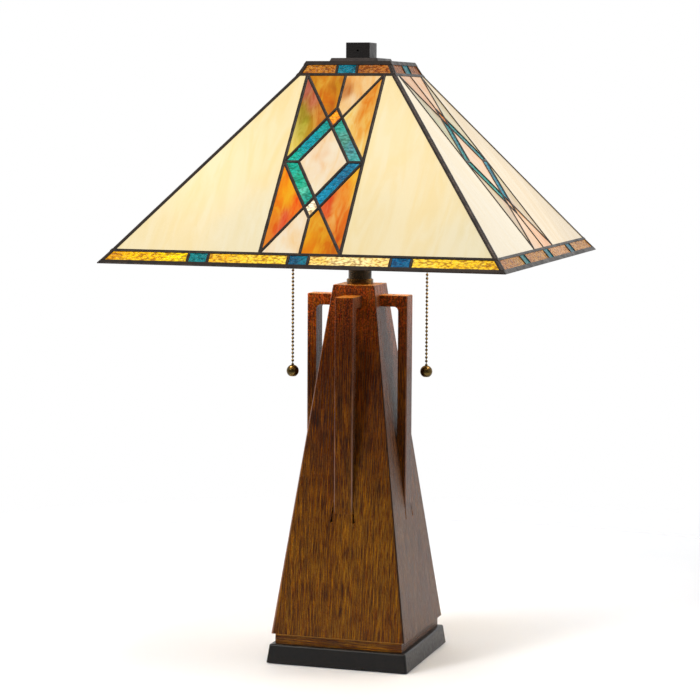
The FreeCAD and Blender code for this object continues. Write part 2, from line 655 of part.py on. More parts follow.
def plain_part(label, shape, turn=0.0):
    """A sub-part with a computed shape, turned about the lamp's axis."""
    item = keep(doc.addObject("Part::Feature", label), label)
    item.Shape = shape
    item.Placement = Placement(Vector(), Rotation(Vector(0, 0, 1), turn))
    return item


def spun(edges, centre, axis):
    """Solid of a closed outline spun a full turn."""
    face = Part.Face(Part.Wire(edges))
    return face.revolve(centre, axis, FULL_TURN)


def poly_edges(points):
    """Edges along a list of points."""
    return [Part.LineSegment(a, b).toShape() for a, b in zip(points, points[1:])]


def make_socket_cores():
    """Insulating core of each socket: pocket and pin holes for the cam, way for the pull wire."""
    axis = Vector(1, 0, 0)
    low_x = dim("core_low_x")
    length = dim("screw_low_x") - low_x
    height = dim("socket_z")
    chain_x = dim("chain_x")
    cam_y = dim("cam_radius")
    room = dim("cam_clearance")
    core = Part.makeCylinder(dim("core_radius"), length, Vector(low_x, 0, height), axis)
    pocket_length = dim("cam_thickness") + 2 * room
    cavity = Part.makeCylinder(dim("cam_radius") + room, pocket_length,
                               Vector(chain_x - pocket_length / 2, cam_y, height), axis)
    pin_hole = Part.makeCylinder(dim("cam_pin_radius") + dim("cam_pin_gap"), length - 4,
                                 Vector(low_x + 2, cam_y, height), axis)
    way = Part.makeCylinder(dim("pull_wire_radius") + 0.6, dim("core_radius"),
                            Vector(chain_x, 0, height), Vector(0, 0, -1))
    core = core.cut([cavity, pin_hole, way])
    other = core.rotated(Vector(), Vector(0, 0, 1), FULL_TURN / 2)
    plain_part("socket_cores", Part.Compound([core, other]), dim("cluster_turn"))


def make_switch_cam(side, turn):
    """Ratchet cam that the pull chain turns, with its pin and four flats."""
    axis = Vector(1, 0, 0)
    height = dim("socket_z")
    chain_x = dim("chain_x")
    radius = dim("cam_radius")
    thickness = dim("cam_thickness")
    pin_length = dim("screw_low_x") - dim("core_low_x") - 5
    start = Vector(chain_x - thickness / 2, radius, height)
    cam = Part.makeCylinder(radius, thickness, start, axis)
    flat = radius * 0.25
    for number in range(4):
        block = Part.makeBox(thickness / 2, radius, radius)
        block.translate(start + Vector(thickness / 2, -radius / 2, radius - flat))
        block.rotate(start, axis, 90.0 * number)
        cam = cam.cut(block)
    pin_start = Vector(dim("core_low_x") + 2.5, radius, height)
    cam = cam.fuse(Part.makeCylinder(dim("cam_pin_radius"), pin_length, pin_start, axis))
    plain_part(f"switch_cam_{side}", cam.removeSplitter(), turn)


def make_bulb(side, turn):
    """Bulb on the socket's axis: a threaded base, and a glass globe on a waisted neck."""
    height = dim("socket_z")
    base_x = dim("bulb_base_x")
    collar_x = dim("bulb_collar_x")
    base_radius = dim("bulb_base_radius")
    radius = dim("bulb_radius")
    tip_x = dim("bulb_tip_x")
    centre_x = tip_x - radius
    thread_depth = 0.6
    threads = 5
    pitch = 3.2

    def at(along, out):
        return Vector(along, 0, height + out)

    root = base_radius - thread_depth
    points = [at(base_x - 1.4, 0), at(base_x - 1.4, 2.5), at(base_x, 9.0), at(base_x + 1.0, root)]
    for number in range(threads):
        crest_x = base_x + 1.0 + pitch * (number + 0.5)
        points += [at(crest_x, base_radius), at(crest_x + pitch / 2, root)]
    points += [at(collar_x, root), at(collar_x, 0), points[0]]
    base = spun(poly_edges(points), at(0, 0), Vector(1, 0, 0))
    plain_part(f"bulb_base_{side}", base, turn)

    neck = base_radius - 1.0
    swell = math.radians(52.0)
    join = at(centre_x - radius * math.cos(swell), radius * math.sin(swell))
    crown = at(centre_x, radius)
    flank = Part.BSplineCurve()
    flank.interpolate([at(collar_x, neck), join], Tangents=[
        Vector(1, 0, 0), Vector(math.sin(swell), 0, math.cos(swell))], Scale=True)
    edges = [
        flank.toShape(),
        Part.Arc(join, at(centre_x - radius * math.cos(1.25), radius * math.sin(1.25)),
                 crown).toShape(),
        Part.Arc(crown, at(centre_x + radius * math.sqrt(0.5), radius * math.sqrt(0.5)),
                 at(tip_x, 0)).toShape(),
        Part.LineSegment(at(tip_x, 0), at(collar_x, 0)).toShape(),
        Part.LineSegment(at(collar_x, 0), at(collar_x, neck)).toShape(),
    ]
    plain_part(f"bulb_glass_{side}", spun(edges, at(0, 0), Vector(1, 0, 0)), turn)


def chain_length(first_z, count, top_stub, low_stub):
    """A run of beads on a wire, spun about the chain's axis; each stub is the wire past a bead."""
    x0 = dim("chain_x")
    bead = dim("bead_radius")
    wire = dim("link_radius")
    dip = math.sqrt(bead ** 2 - wire ** 2)

    def at(out, height):
        return Vector(x0 + out, 0, height)

    edges = []
    previous = [at(0, first_z + dip + top_stub), at(wire, first_z + dip + top_stub)]
    for number in range(count):
        z = first_z - number * dim("bead_pitch")
        previous.append(at(wire, z + dip))
        edges += poly_edges(previous)
        edges.append(Part.Arc(at(wire, z + dip), at(bead, z), at(wire, z - dip)).toShape())
        previous = [at(wire, z - dip)]
    end_z = first_z - (count - 1) * dim("bead_pitch") - dip - low_stub
    previous += [at(wire, end_z), at(0, end_z), at(0, first_z + dip + top_stub)]
    edges += poly_edges(previous)
    return spun(edges, at(0, 0), Vector(0, 0, 1))


def make_chain(side, turn):
    """Pull wire, the chain's two lengths and the end ball."""
    x0 = dim("chain_x")
    bead = dim("bead_radius")
    wire = dim("link_radius")
    pitch = dim("bead_pitch")
    upper = int(dim("beads_upper"))
    lower = int(dim("beads_lower"))
    first_z = dim("first_bead_z")
    dip = math.sqrt(bead ** 2 - wire ** 2)
    stub = pitch / 2 - dip - dim("link_gap") / 2

    wire_low_z = first_z + pitch / 2 + dim("link_gap") / 2
    pull = Part.makeCylinder(dim("pull_wire_radius"), dim("pull_wire_top_z") - wire_low_z,
                             Vector(x0, 0, wire_low_z))
    plain_part(f"pull_wire_{side}", pull, turn)
    plain_part(f"chain_upper_{side}", chain_length(first_z, upper, stub, stub), turn)
    lower_z = first_z - upper * pitch
    last_z = lower_z - (lower - 1) * pitch
    ball_z = dim("ball_z")
    radius = dim("ball_radius")
    neck = dim("ball_neck_radius")
    neck_top_z = ball_z + radius + 1.6
    plain_part(f"chain_lower_{side}",
               chain_length(lower_z, lower, stub, last_z - dip - neck_top_z), turn)

    def at(out, height):
        return Vector(x0 + out, 0, height)

    neck_dip = math.sqrt(radius ** 2 - neck ** 2)
    foot_z = ball_z - dim("ball_foot")
    foot_radius = math.sqrt(radius ** 2 - dim("ball_foot") ** 2)
    edges = poly_edges([at(0, neck_top_z), at(neck * 0.7, neck_top_z), at(neck, neck_top_z - 1),
                        at(neck, ball_z + neck_dip)])
    edges.append(Part.Arc(at(neck, ball_z + neck_dip), at(radius, ball_z),
                          at(foot_radius, foot_z)).toShape())
    edges += poly_edges([at(foot_radius, foot_z), at(0, foot_z), at(0, neck_top_z)])
    plain_part(f"chain_ball_{side}", spun(edges, at(0, 0), Vector(0, 0, 1)), turn)


# ---------------------------------------------------------------- shade

class Tier:
    """One flat tier of the front side, from its lower to its upper edge.

    Along it a point has u across, s up the slope from the lower edge and n out of the glass.
    """

    def __init__(self, low_half, low_z, high_half, high_z):
        self.low_half = low_half
        self.low_z = low_z
        run = low_half - high_half
        rise = high_z - low_z
        self.length = math.hypot(run, rise)
        self.up = Vector(0, run / self.length, rise / self.length)
        self.out = Vector(0, -rise / self.length, run / self.length)
        self.shrink = run / self.length

    def half(self, s):
        """Half width of the tier at a distance up its slope."""
        return self.low_half - self.shrink * s

    def edge_point(self, s, n):
        """Distance from the axis and height of a point of the tier's section."""
        place = Vector(0, -self.low_half, self.low_z) + self.up * s + self.out * n
        return (-place.y, place.z)

    def s_at(self, height, n):
        """Distance up the slope at which a line parallel to the tier reaches a height."""
        return (height - self.low_z - self.out.z * n) / self.up.z

    def frame(self, n):
        """Placement that carries a flat (u, s) drawing onto the tier at a height n."""
        origin = Vector(0, -self.low_half, self.low_z) + self.out * n
        return Placement(Matrix(1, 0, 0, origin.x, 0, self.up.y, self.out.y, origin.y,
                                0, self.up.z, self.out.z, origin.z, 0, 0, 0, 1))

    def panel(self, low_s, high_s):
        """Flat outline between the corner cames, from low_s to high_s."""
        margin = dim("hip_leg")
        low = self.half(low_s) - margin
        high = self.half(high_s) - margin
        return flat([(-low, low_s), (low, low_s), (high, high_s), (-high, high_s)])

    def plate(self, face, n_low, n_high):
        """Solid between two heights over a flat drawing, carried onto the tier."""
        solid = face.extrude(Vector(0, 0, n_high - n_low))
        solid.Placement = self.frame(n_low)
        return solid


def flat(points):
    """Flat face through (u, s) points."""
    corners = [Vector(u, s, 0) for u, s in points]
    return Part.Face(Part.makePolygon(corners + corners[:1]))


def flat_line(start, end, width):
    """Flat strip of a given width along a centre line, run on by half its width at both ends."""
    a = Vector(start[0], start[1], 0)
    b = Vector(end[0], end[1], 0)
    along = (b - a).normalize() * (width / 2)
    across = Vector(-along.y, along.x, 0)
    a = a - along
    b = b + along
    return flat([(p.x, p.y) for p in (a + across, b + across, b - across, a - across)])


RIM_TIER = Tier(dim("rim_half"), dim("rim_z"), dim("eave_half"), dim("eave_z"))
MAIN_TIER = Tier(dim("eave_half"), dim("eave_z"), dim("brow_half"), dim("brow_z"))
CROWN_TIER = Tier(dim("brow_half"), dim("brow_z"), dim("crown_half"), dim("crown_z"))


def all_sides(label, solids):
    """A node of the front side's solids and their copies on the other three sides."""
    copies = [solid.rotated(Vector(), Vector(0, 0, 1), turn) for turn in SIDES for solid in solids]
    plain_part(label, Part.Compound(copies))


def pattern_lines():
    """Centre lines of the solder pattern in one main panel, as (start, end, width)."""
    band = dim("band_half")
    length = MAIN_TIER.length
    middle = length / 2
    outer = dim("outer_diamond_half")
    inner = dim("inner_diamond_half")
    inner_half = band * inner / outer
    thin = dim("pattern_line")
    lines = []
    for side in (-1, 1):
        lines.append(((side * band, 0), (side * band, length), dim("band_line")))
        lines.append(((side * inner_half, middle), (side * band, middle), thin))
        for up in (-1, 1):
            corner = (side * band, middle + up * middle)
            lines.append((corner, (-side * inner_half, middle), thin))
            lines.append(((0, middle + up * outer), (side * band, middle), thin))
    for up in (-1, 1):
        lines.append(((0, middle + up * outer), (0, middle + up * middle), thin))
    return lines


def make_main_panels():
    """Solder lattice and glass of the four large panels."""
    tier = MAIN_TIER
    low_s = dim("eave_came_up")
    high_s = tier.length - dim("brow_came_down")
    panel = tier.panel(low_s, high_s)
    strips = [flat_line(start, end, width) for start, end, width in pattern_lines()]
    lattice = strips[0].fuse(strips[1:]).removeSplitter().common(panel)
    cells = panel.cut(lattice).Faces
    proud = dim("came_proud")
    thick = dim("glass_thickness")
    all_sides("came_lattice", [tier.plate(face, -thick - proud, proud) for face in lattice.Faces])

    band = dim("band_half")
    middle = tier.length / 2
    steep = dim("outer_diamond_half") / band
    groups = {"glass_cream": [], "glass_triangles": [], "glass_wedges": [],
              "glass_bars": [], "glass_squares": [], "glass_diamonds": []}
    for cell in cells:
        u = abs(cell.CenterOfMass.x)
        reach = abs(cell.CenterOfMass.y - middle) + steep * u
        if u > band:
            name = "glass_cream"
        elif reach < 1:
            name = "glass_diamonds"
        elif u < 1:
            name = "glass_squares"
        elif reach < dim("outer_diamond_half"):
            name = "glass_bars"
        elif u > band / 2:
            name = "glass_triangles"
        else:
            name = "glass_wedges"
        groups[name].append(tier.plate(cell, -thick, 0))
    for name, solids in groups.items():
        all_sides(name, solids)


def make_border(tier, low_s, high_s, dividers, names):
    """Glass and dividers of a border; names are those of the teal, amber and divider nodes."""
    half_width = dim("divider_width") / 2
    panel = tier.panel(low_s, high_s)
    strips = [flat([(u - half_width, low_s), (u + half_width, low_s),
                    (u + half_width, high_s), (u - half_width, high_s)]) for u in dividers]
    proud = dim("came_proud")
    thick = dim("glass_thickness")
    teal = []
    amber = []
    for number, cell in enumerate(sorted(panel.cut(strips).Faces,
                                         key=lambda face: face.CenterOfMass.x)):
        group = teal if number % 2 else amber
        group.append(tier.plate(cell, -thick, 0))
    all_sides(names[0], teal)
    all_sides(names[1], amber)
    all_sides(names[2], [tier.plate(strip, -thick - proud, proud) for strip in strips])


def make_borders():
    """The lower border has seven pieces a side and the upper border three."""
    half_line = dim("divider_width") / 2
    reach = dim("rim_teal_width") / 2 + half_line
    dividers = []
    for middle in (-dim("rim_teal_offset"), 0, dim("rim_teal_offset")):
        dividers += [middle - reach, middle + reach]
    high_s = RIM_TIER.length - dim("eave_came_down")
    low_s = high_s - dim("rim_glass_height")
    make_border(RIM_TIER, low_s, high_s, dividers,
                ("rim_glass_teal", "rim_glass_amber", "rim_dividers"))
    reach = dim("crown_teal_width") / 2 + half_line
    low_s = dim("brow_came_up")
    make_border(CROWN_TIER, low_s, low_s + dim("crown_glass_height"), [-reach, reach],
                ("crown_glass_teal", "crown_glass_amber", "crown_dividers"))


def corner_section(half, height):
    """Level section of a corner came, at the corner between the front and right sides."""
    outer = half + dim("hip_proud")
    leg = half - dim("hip_leg")
    points = [(outer, -outer), (outer, -leg), (leg, -leg), (leg, -outer)]
    corners = [Vector(x, y, height) for x, y in points]
    return Part.makePolygon(corners + corners[:1])


def make_hip_came():
    """Corner came from the lower rim channel to the top one; returned for trimming others."""
    low_s = RIM_TIER.length - dim("eave_came_down") - dim("rim_glass_height")
    high_s = dim("brow_came_up") + dim("crown_glass_height")
    low = RIM_TIER.edge_point(low_s, 0)
    high = CROWN_TIER.edge_point(high_s, 0)
    stations = [low, (dim("eave_half"), dim("eave_z")), (dim("brow_half"), dim("brow_z")), high]
    sections = [corner_section(half, height) for half, height in stations]
    hip = Part.makeLoft(sections, True, True)
    all_sides("hip_cames", [hip])
    return [hip.rotated(Vector(), Vector(0, 0, 1), turn) for turn in SIDES]


def mitred_bar(section, hips=()):
    """Level bar along the front side with the given section, mitred at the corners."""
    far = dim("rim_half") * 2
    points = [Vector(-far, -out, height) for out, height in section]
    bar = Part.Face(Part.makePolygon(points + points[:1])).extrude(Vector(2 * far, 0, 0))
    wedge_points = [Vector(0, 0, 0), Vector(-far, -far, 0), Vector(far, -far, 0)]
    wedge = Part.Face(Part.makePolygon(wedge_points + wedge_points[:1]))
    bar = bar.common(wedge.extrude(Vector(0, 0, dim("lamp_height"))))
    return bar.cut(list(hips)) if hips else bar


def fold_section(lower, upper, down, up):
    """Section of a came over the fold between two tiers, reaching down one and up the other."""
    proud = dim("came_proud")
    inside = -dim("glass_thickness") - proud
    fold_s = lower.length

    def knee(n):
        a = lower.edge_point(fold_s, n)
        b = upper.edge_point(0, n)
        return ((a[0] + b[0]) / 2, (a[1] + b[1]) / 2)

    return [lower.edge_point(fold_s - down, inside), lower.edge_point(fold_s - down, proud),
            knee(proud), upper.edge_point(up, proud), upper.edge_point(up, inside), knee(inside)]


def make_level_cames(hips):
    """Fold cames and the channels round the lower rim and the top."""
    proud = dim("came_proud")
    inside = -dim("glass_thickness") - proud
    eave = fold_section(RIM_TIER, MAIN_TIER, dim("eave_came_down"), dim("eave_came_up"))
    brow = fold_section(MAIN_TIER, CROWN_TIER, dim("brow_came_down"), dim("brow_came_up"))
    all_sides("fold_cames", [mitred_bar(eave, hips), mitred_bar(brow, hips)])
    high_s = RIM_TIER.length - dim("eave_came_down") - dim("rim_glass_height")
    low_z = dim("rim_channel_low_z")
    outer = dim("rim_channel_proud")
    knee = RIM_TIER.edge_point(RIM_TIER.s_at(low_z + dim("rim_channel_lip"), outer), outer)
    rim = [RIM_TIER.edge_point(high_s, inside), RIM_TIER.edge_point(high_s, outer), knee,
           (knee[0], low_z), RIM_TIER.edge_point(RIM_TIER.s_at(low_z, inside), inside)]
    all_sides("rim_channel", [mitred_bar(rim, hips)])
    low_s = dim("brow_came_up") + dim("crown_glass_height")
    foot = CROWN_TIER.edge_point(low_s, proud)
    foot_in = CROWN_TIER.edge_point(low_s, inside)
    top = dim("crown_z")
    crown = [foot_in, foot, (dim("crown_half") + proud, top), (dim("cap_half"), top),
             (dim("cap_half"), top - dim("cap_thickness")), (foot_in[0], top - 2.6)]
    all_sides("crown_channel", [mitred_bar(crown, hips)])


# ---------------------------------------------------------------- cap and finial

def make_cap():
    """Square cap with a raised boss, hollow below, a rod hole and vents in its flat sheet."""
    body = new_body("shade_cap")
    sheet_low = "Dims.crown_z - Dims.cap_thickness"
    sketch = new_sketch(body, "cap_sheet_square", "XY_Plane", sheet_low)
    square(sketch, "Dims.cap_half")
    pad(body, "cap_sheet", sketch, "Dims.cap_thickness")
    frustum(body, "cap_boss", "Dims.boss_base_half", "Dims.boss_top_half",
            "Dims.crown_z", "Dims.boss_top_z")
    hollow = new_sketch(body, "cap_hollow_square", "XY_Plane", sheet_low)
    square(hollow, "Dims.boss_top_half - Dims.cap_thickness")
    pocket(body, "cap_hollow", hollow, f"Dims.boss_top_z - Dims.cap_thickness - ({sheet_low})",
           forward=True)
    hole = new_sketch(body, "cap_rod_hole", "XY_Plane", sheet_low)
    circle(hole, "Dims.cap_hole_radius", "0", "0")
    pocket(body, "cap_rod_way", hole, "Dims.lamp_height", forward=True)
    vent = new_sketch(body, "cap_vent", "XY_Plane", sheet_low)
    circle(vent, "Dims.vent_radius", "Dims.vent_ring_half", "0")
    first = pocket(body, "cap_vent_way", vent, "Dims.lamp_height", forward=True)
    side_vents = [first]
    for name, sign in (("right", ""), ("left", "-")):
        vent = new_sketch(body, f"cap_vent_{name}", "XY_Plane", sheet_low)
        circle(vent, "Dims.vent_radius", "Dims.vent_ring_half",
               f"{sign}Dims.vent_ring_half / 2")
        side_vents.append(pocket(body, f"cap_vent_{name}_way", vent, "Dims.lamp_height",
                                 forward=True))
    polar(body, "cap_vents", side_vents, len(SIDES))


def make_finial():
    """Square finial with bevelled edges, a blind bore and a set-screw hole in front."""
    body = new_body("finial")
    low = "Dims.boss_top_z + Dims.seat_gap"
    sketch = new_sketch(body, "finial_square", "XY_Plane", low)
    square(sketch, "Dims.finial_half")
    block = pad(body, "finial_block", sketch, f"Dims.lamp_height - ({low})")
    dress(body, "Chamfer", "finial_bevel", block,
          lambda at, along: at.z > dim("boss_top_z") + 1, "Dims.finial_edge")
    bore = new_sketch(body, "finial_bore_circle", "XY_Plane", low)
    circle(bore, "Dims.finial_bore_radius", "0", "0")
    pocket(body, "finial_bore", bore, f"Dims.finial_bore_top_z - ({low})", forward=True)
    screw = new_sketch(body, "finial_screw_circle", "XZ_Plane", "Dims.finial_half - 3")
    circle(screw, "Dims.set_screw_radius", "0", "(Dims.boss_top_z + Dims.lamp_height) / 2")
    pocket(body, "finial_screw_hole", screw, "Dims.finial_half", forward=True)


# ---------------------------------------------------------------- build, check and write

make_felt_pad()
make_plinth()
make_cord_bushing()
make_foot_step()
make_column()
for side_name, side_turn in zip(SIDE_NAMES, (-90.0, 0.0, 90.0, 180.0)):
    make_strap(side_name, side_turn)
make_centre_hardware()
make_bottom_nut()
make_cluster_arm_holes()
make_sockets()
make_socket_cores()
for side_name, half_turn in (("right", 0.0), ("left", 180.0)):
    side_turn = dim("cluster_turn") + half_turn
    make_switch_cam(side_name, side_turn)
    make_bulb(side_name, side_turn)
    make_chain(side_name, side_turn)
make_main_panels()
make_borders()
make_level_cames(make_hip_came())
make_cap()
make_finial()
doc.recompute()

for item in doc.Objects:
    if "Invalid" in item.State or "Error" in item.State:
        raise RuntimeError(f"{item.Label} did not recompute: {item.State}")
for item in sub_parts:
    if item.Shape.isNull() or not item.Shape.isValid() or not item.Shape.Solids:
        raise RuntimeError(f"{item.Label} has no valid solid")

os.makedirs("parts", exist_ok=True)
for item in sub_parts:
    item.Shape.exportStep(f"parts/{item.Label}.step")
    solids = item.Shape.Solids
    box = item.Shape.BoundBox
    print(f"{item.Label}: {len(solids)} solid(s), {item.Shape.Volume:.0f} mm3,"
          f" z {box.ZMin:.1f} to {box.ZMax:.1f}")
print(f"{len(sub_parts)} sub-parts written")
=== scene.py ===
import math

import bmesh
import bpy
from mathutils import Matrix, Vector, noise


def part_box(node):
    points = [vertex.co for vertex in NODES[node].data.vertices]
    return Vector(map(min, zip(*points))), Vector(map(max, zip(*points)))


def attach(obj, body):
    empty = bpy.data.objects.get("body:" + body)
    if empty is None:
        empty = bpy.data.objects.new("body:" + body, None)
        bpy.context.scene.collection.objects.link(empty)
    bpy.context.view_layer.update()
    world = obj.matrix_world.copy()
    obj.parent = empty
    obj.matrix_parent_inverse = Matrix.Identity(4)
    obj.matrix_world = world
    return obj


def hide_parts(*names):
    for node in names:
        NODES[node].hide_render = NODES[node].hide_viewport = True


# Looks of the two-light table lamp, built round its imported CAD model. The shade's geometry is
# worked out in millimetres; meshes, materials and the studio are in metres. The frame is the
# CAD's: +Z up, and the front looks along -Y.

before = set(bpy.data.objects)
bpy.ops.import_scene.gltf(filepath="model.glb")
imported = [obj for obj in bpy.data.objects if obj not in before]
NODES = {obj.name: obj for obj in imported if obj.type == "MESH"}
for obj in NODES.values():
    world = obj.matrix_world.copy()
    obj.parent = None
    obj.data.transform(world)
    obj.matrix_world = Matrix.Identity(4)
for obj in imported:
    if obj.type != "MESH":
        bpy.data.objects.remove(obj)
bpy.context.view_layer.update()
MM = 0.001
noise.seed_set(5)   # noise_vector's offsets come from the clock unless it is seeded
SIDES = ("front", "right", "back", "left")
RIGHT, BACK = 1, 2


# ---------------------------------------------------------------- materials

def linear(red, green, blue):
    """Linear colour of an 8-bit one."""
    return tuple(((c / 255 + 0.055) / 1.055) ** 2.4 if c > 10 else c / 3295
                 for c in (red, green, blue))


class Shader:
    """A node material made a step at a time."""

    def __init__(self, name):
        self.material = bpy.data.materials.new(name)
        self.material.use_nodes = True
        self.tree = self.material.node_tree
        self.tree.nodes.clear()

    def node(self, kind, inputs=None, **settings):
        """A node of a kind; each input is a socket to link or a value to set."""
        made = self.tree.nodes.new("ShaderNode" + kind)
        for name, value in settings.items():
            setattr(made, name, value)
        for name, value in (inputs or {}).items():
            socket = made.inputs[name]
            if isinstance(value, bpy.types.NodeSocket):
                self.tree.links.new(value, socket)
            elif socket.type == "RGBA":
                socket.default_value = (*value, 1.0)
            else:
                socket.default_value = value
        return made

    def place(self, scale, turn=(0, 0, 0), source=None):
        """Scaled coordinates: Object's, in metres, unless a source is given."""
        source = source or self.node("TexCoord").outputs["Object"]
        return self.node("Mapping", {"Vector": source, "Scale": scale, "Rotation": turn}).outputs[0]

    def attribute(self, name, output="Color"):
        return self.node("Attribute", attribute_name=name).outputs[output]

    def noise(self, vector, scale=1.0, detail=3.0, rough=0.5, warp=0.0):
        return self.node("TexNoise", {"Vector": vector, "Scale": scale, "Detail": detail,
                                      "Roughness": rough, "Distortion": warp}).outputs["Fac"]

    def cells(self, vector, scale):
        return self.node("TexVoronoi", {"Vector": vector, "Scale": scale}).outputs["Distance"]

    def ramp(self, fac, stops):
        """Grey or colour through (place, colour) stops."""
        made = self.node("ValToRGB", {"Fac": fac})
        points = made.color_ramp.elements
        while len(points) < len(stops):
            points.new(1.0)
        for point, (place, colour) in zip(points, stops):
            point.position = place
            point.color = (*colour, 1.0) if isinstance(colour, tuple) else (colour,) * 3 + (1.0,)
        return made.outputs["Color"]

    def mix(self, fac, low, high, blend="MIX"):
        """Colour from low to high as fac goes from 0 to 1."""
        made = self.node("Mix", data_type="RGBA", blend_type=blend)
        for index, value in ((0, fac), (6, low), (7, high)):
            if isinstance(value, bpy.types.NodeSocket):
                self.tree.links.new(value, made.inputs[index])
            else:
                made.inputs[index].default_value = value if index == 0 else (*value, 1.0)
        return made.outputs[2]

    def span(self, value, low, high, to_low=0.0, to_high=1.0):
        """Maps low..high to to_low..to_high and holds it there beyond the ends."""
        return self.node("MapRange", {"Value": value, "From Min": low, "From Max": high,
                                      "To Min": to_low, "To Max": to_high}).outputs[0]

    def maths(self, kind, *values):
        made = self.node("Math", operation=kind)
        for index, value in enumerate(values):
            if isinstance(value, bpy.types.NodeSocket):
                self.tree.links.new(value, made.inputs[index])
            else:
                made.inputs[index].default_value = value
        return made.outputs[0]

    def gamma(self, colour, power):
        return self.node("Gamma", {"Color": colour, "Gamma": power}).outputs[0]

    def bump(self, height, distance, strength=1.0, under=None):
        inputs = {"Height": height, "Distance": distance, "Strength": strength}
        if under is not None:
            inputs["Normal"] = under
        return self.node("Bump", inputs).outputs[0]

    def surface(self, **inputs):
        """Ends the material with a Principled surface; underscores stand for spaces."""
        named = {name.replace("_", " "): value for name, value in inputs.items()}
        shader = self.node("BsdfPrincipled", named)
        end = self.node("OutputMaterial")
        self.tree.links.new(shader.outputs[0], end.inputs[0])
        return self.material


def grain_place(m, where, tapered, level):
    """Coordinates with the grain along Z. The tapered column's are laid flat on each face."""
    x, y, z = m.node("SeparateXYZ", {"Vector": where}).outputs
    if level:
        return m.node("CombineXYZ", {"X": z, "Y": 0.0, "Z": m.maths("ADD", x, y)}).outputs[0]
    if not tapered:
        return where
    side = m.maths("GREATER_THAN", m.maths("ABSOLUTE", x), m.maths("ABSOLUTE", y))
    across = m.node("Mix", {"Factor": side, "A": x, "B": m.maths("ADD", y, 3.0)}).outputs[0]
    return m.node("CombineXYZ", {"X": across, "Y": m.maths("MULTIPLY", side, 2.0),
                                 "Z": z}).outputs[0]


def edge_lines_and_highlights(m, colour, where, tapered):
    """Pale painted highlights on the wood's upright edges; the column's right ones get a dark line
    instead.
    """
    x, y, z = m.node("SeparateXYZ", {"Vector": where}).outputs
    wide, deep = m.maths("ABSOLUTE", x), m.maths("ABSOLUTE", y)
    near, far = m.maths("MINIMUM", wide, deep), m.maths("MAXIMUM", wide, deep)
    # Pale mauve of a painted highlight on a rounded edge.
    edge_highlight = linear(168, 132, 118)
    if tapered:
        edge = m.maths("DIVIDE", near, far)   # 1 on a corner of the square section
        right = m.maths("MULTIPLY", m.span(edge, 0.968, 0.985), m.span(x, 0.0, 0.01, 0.0, 0.85))
        colour = m.mix(right, colour, linear(30, 17, 8))
        left = m.maths("MULTIPLY", m.span(edge, 0.966, 0.985), m.span(x, 0.0, -0.01, 0.0, 0.6))
        return m.mix(left, colour, edge_highlight)
    # A painted highlight on a strap's outer corners, strongest just above its foot.
    corner = m.maths("MULTIPLY", m.span(near, 0.0083, 0.0094), m.span(far, 0.0522, 0.0532))
    height = m.maths("MULTIPLY", m.span(z, 0.15, 0.17), m.span(z, 0.19, 0.30, 0.6, 0.12))
    return m.mix(m.maths("MULTIPLY", corner, height), colour, edge_highlight)


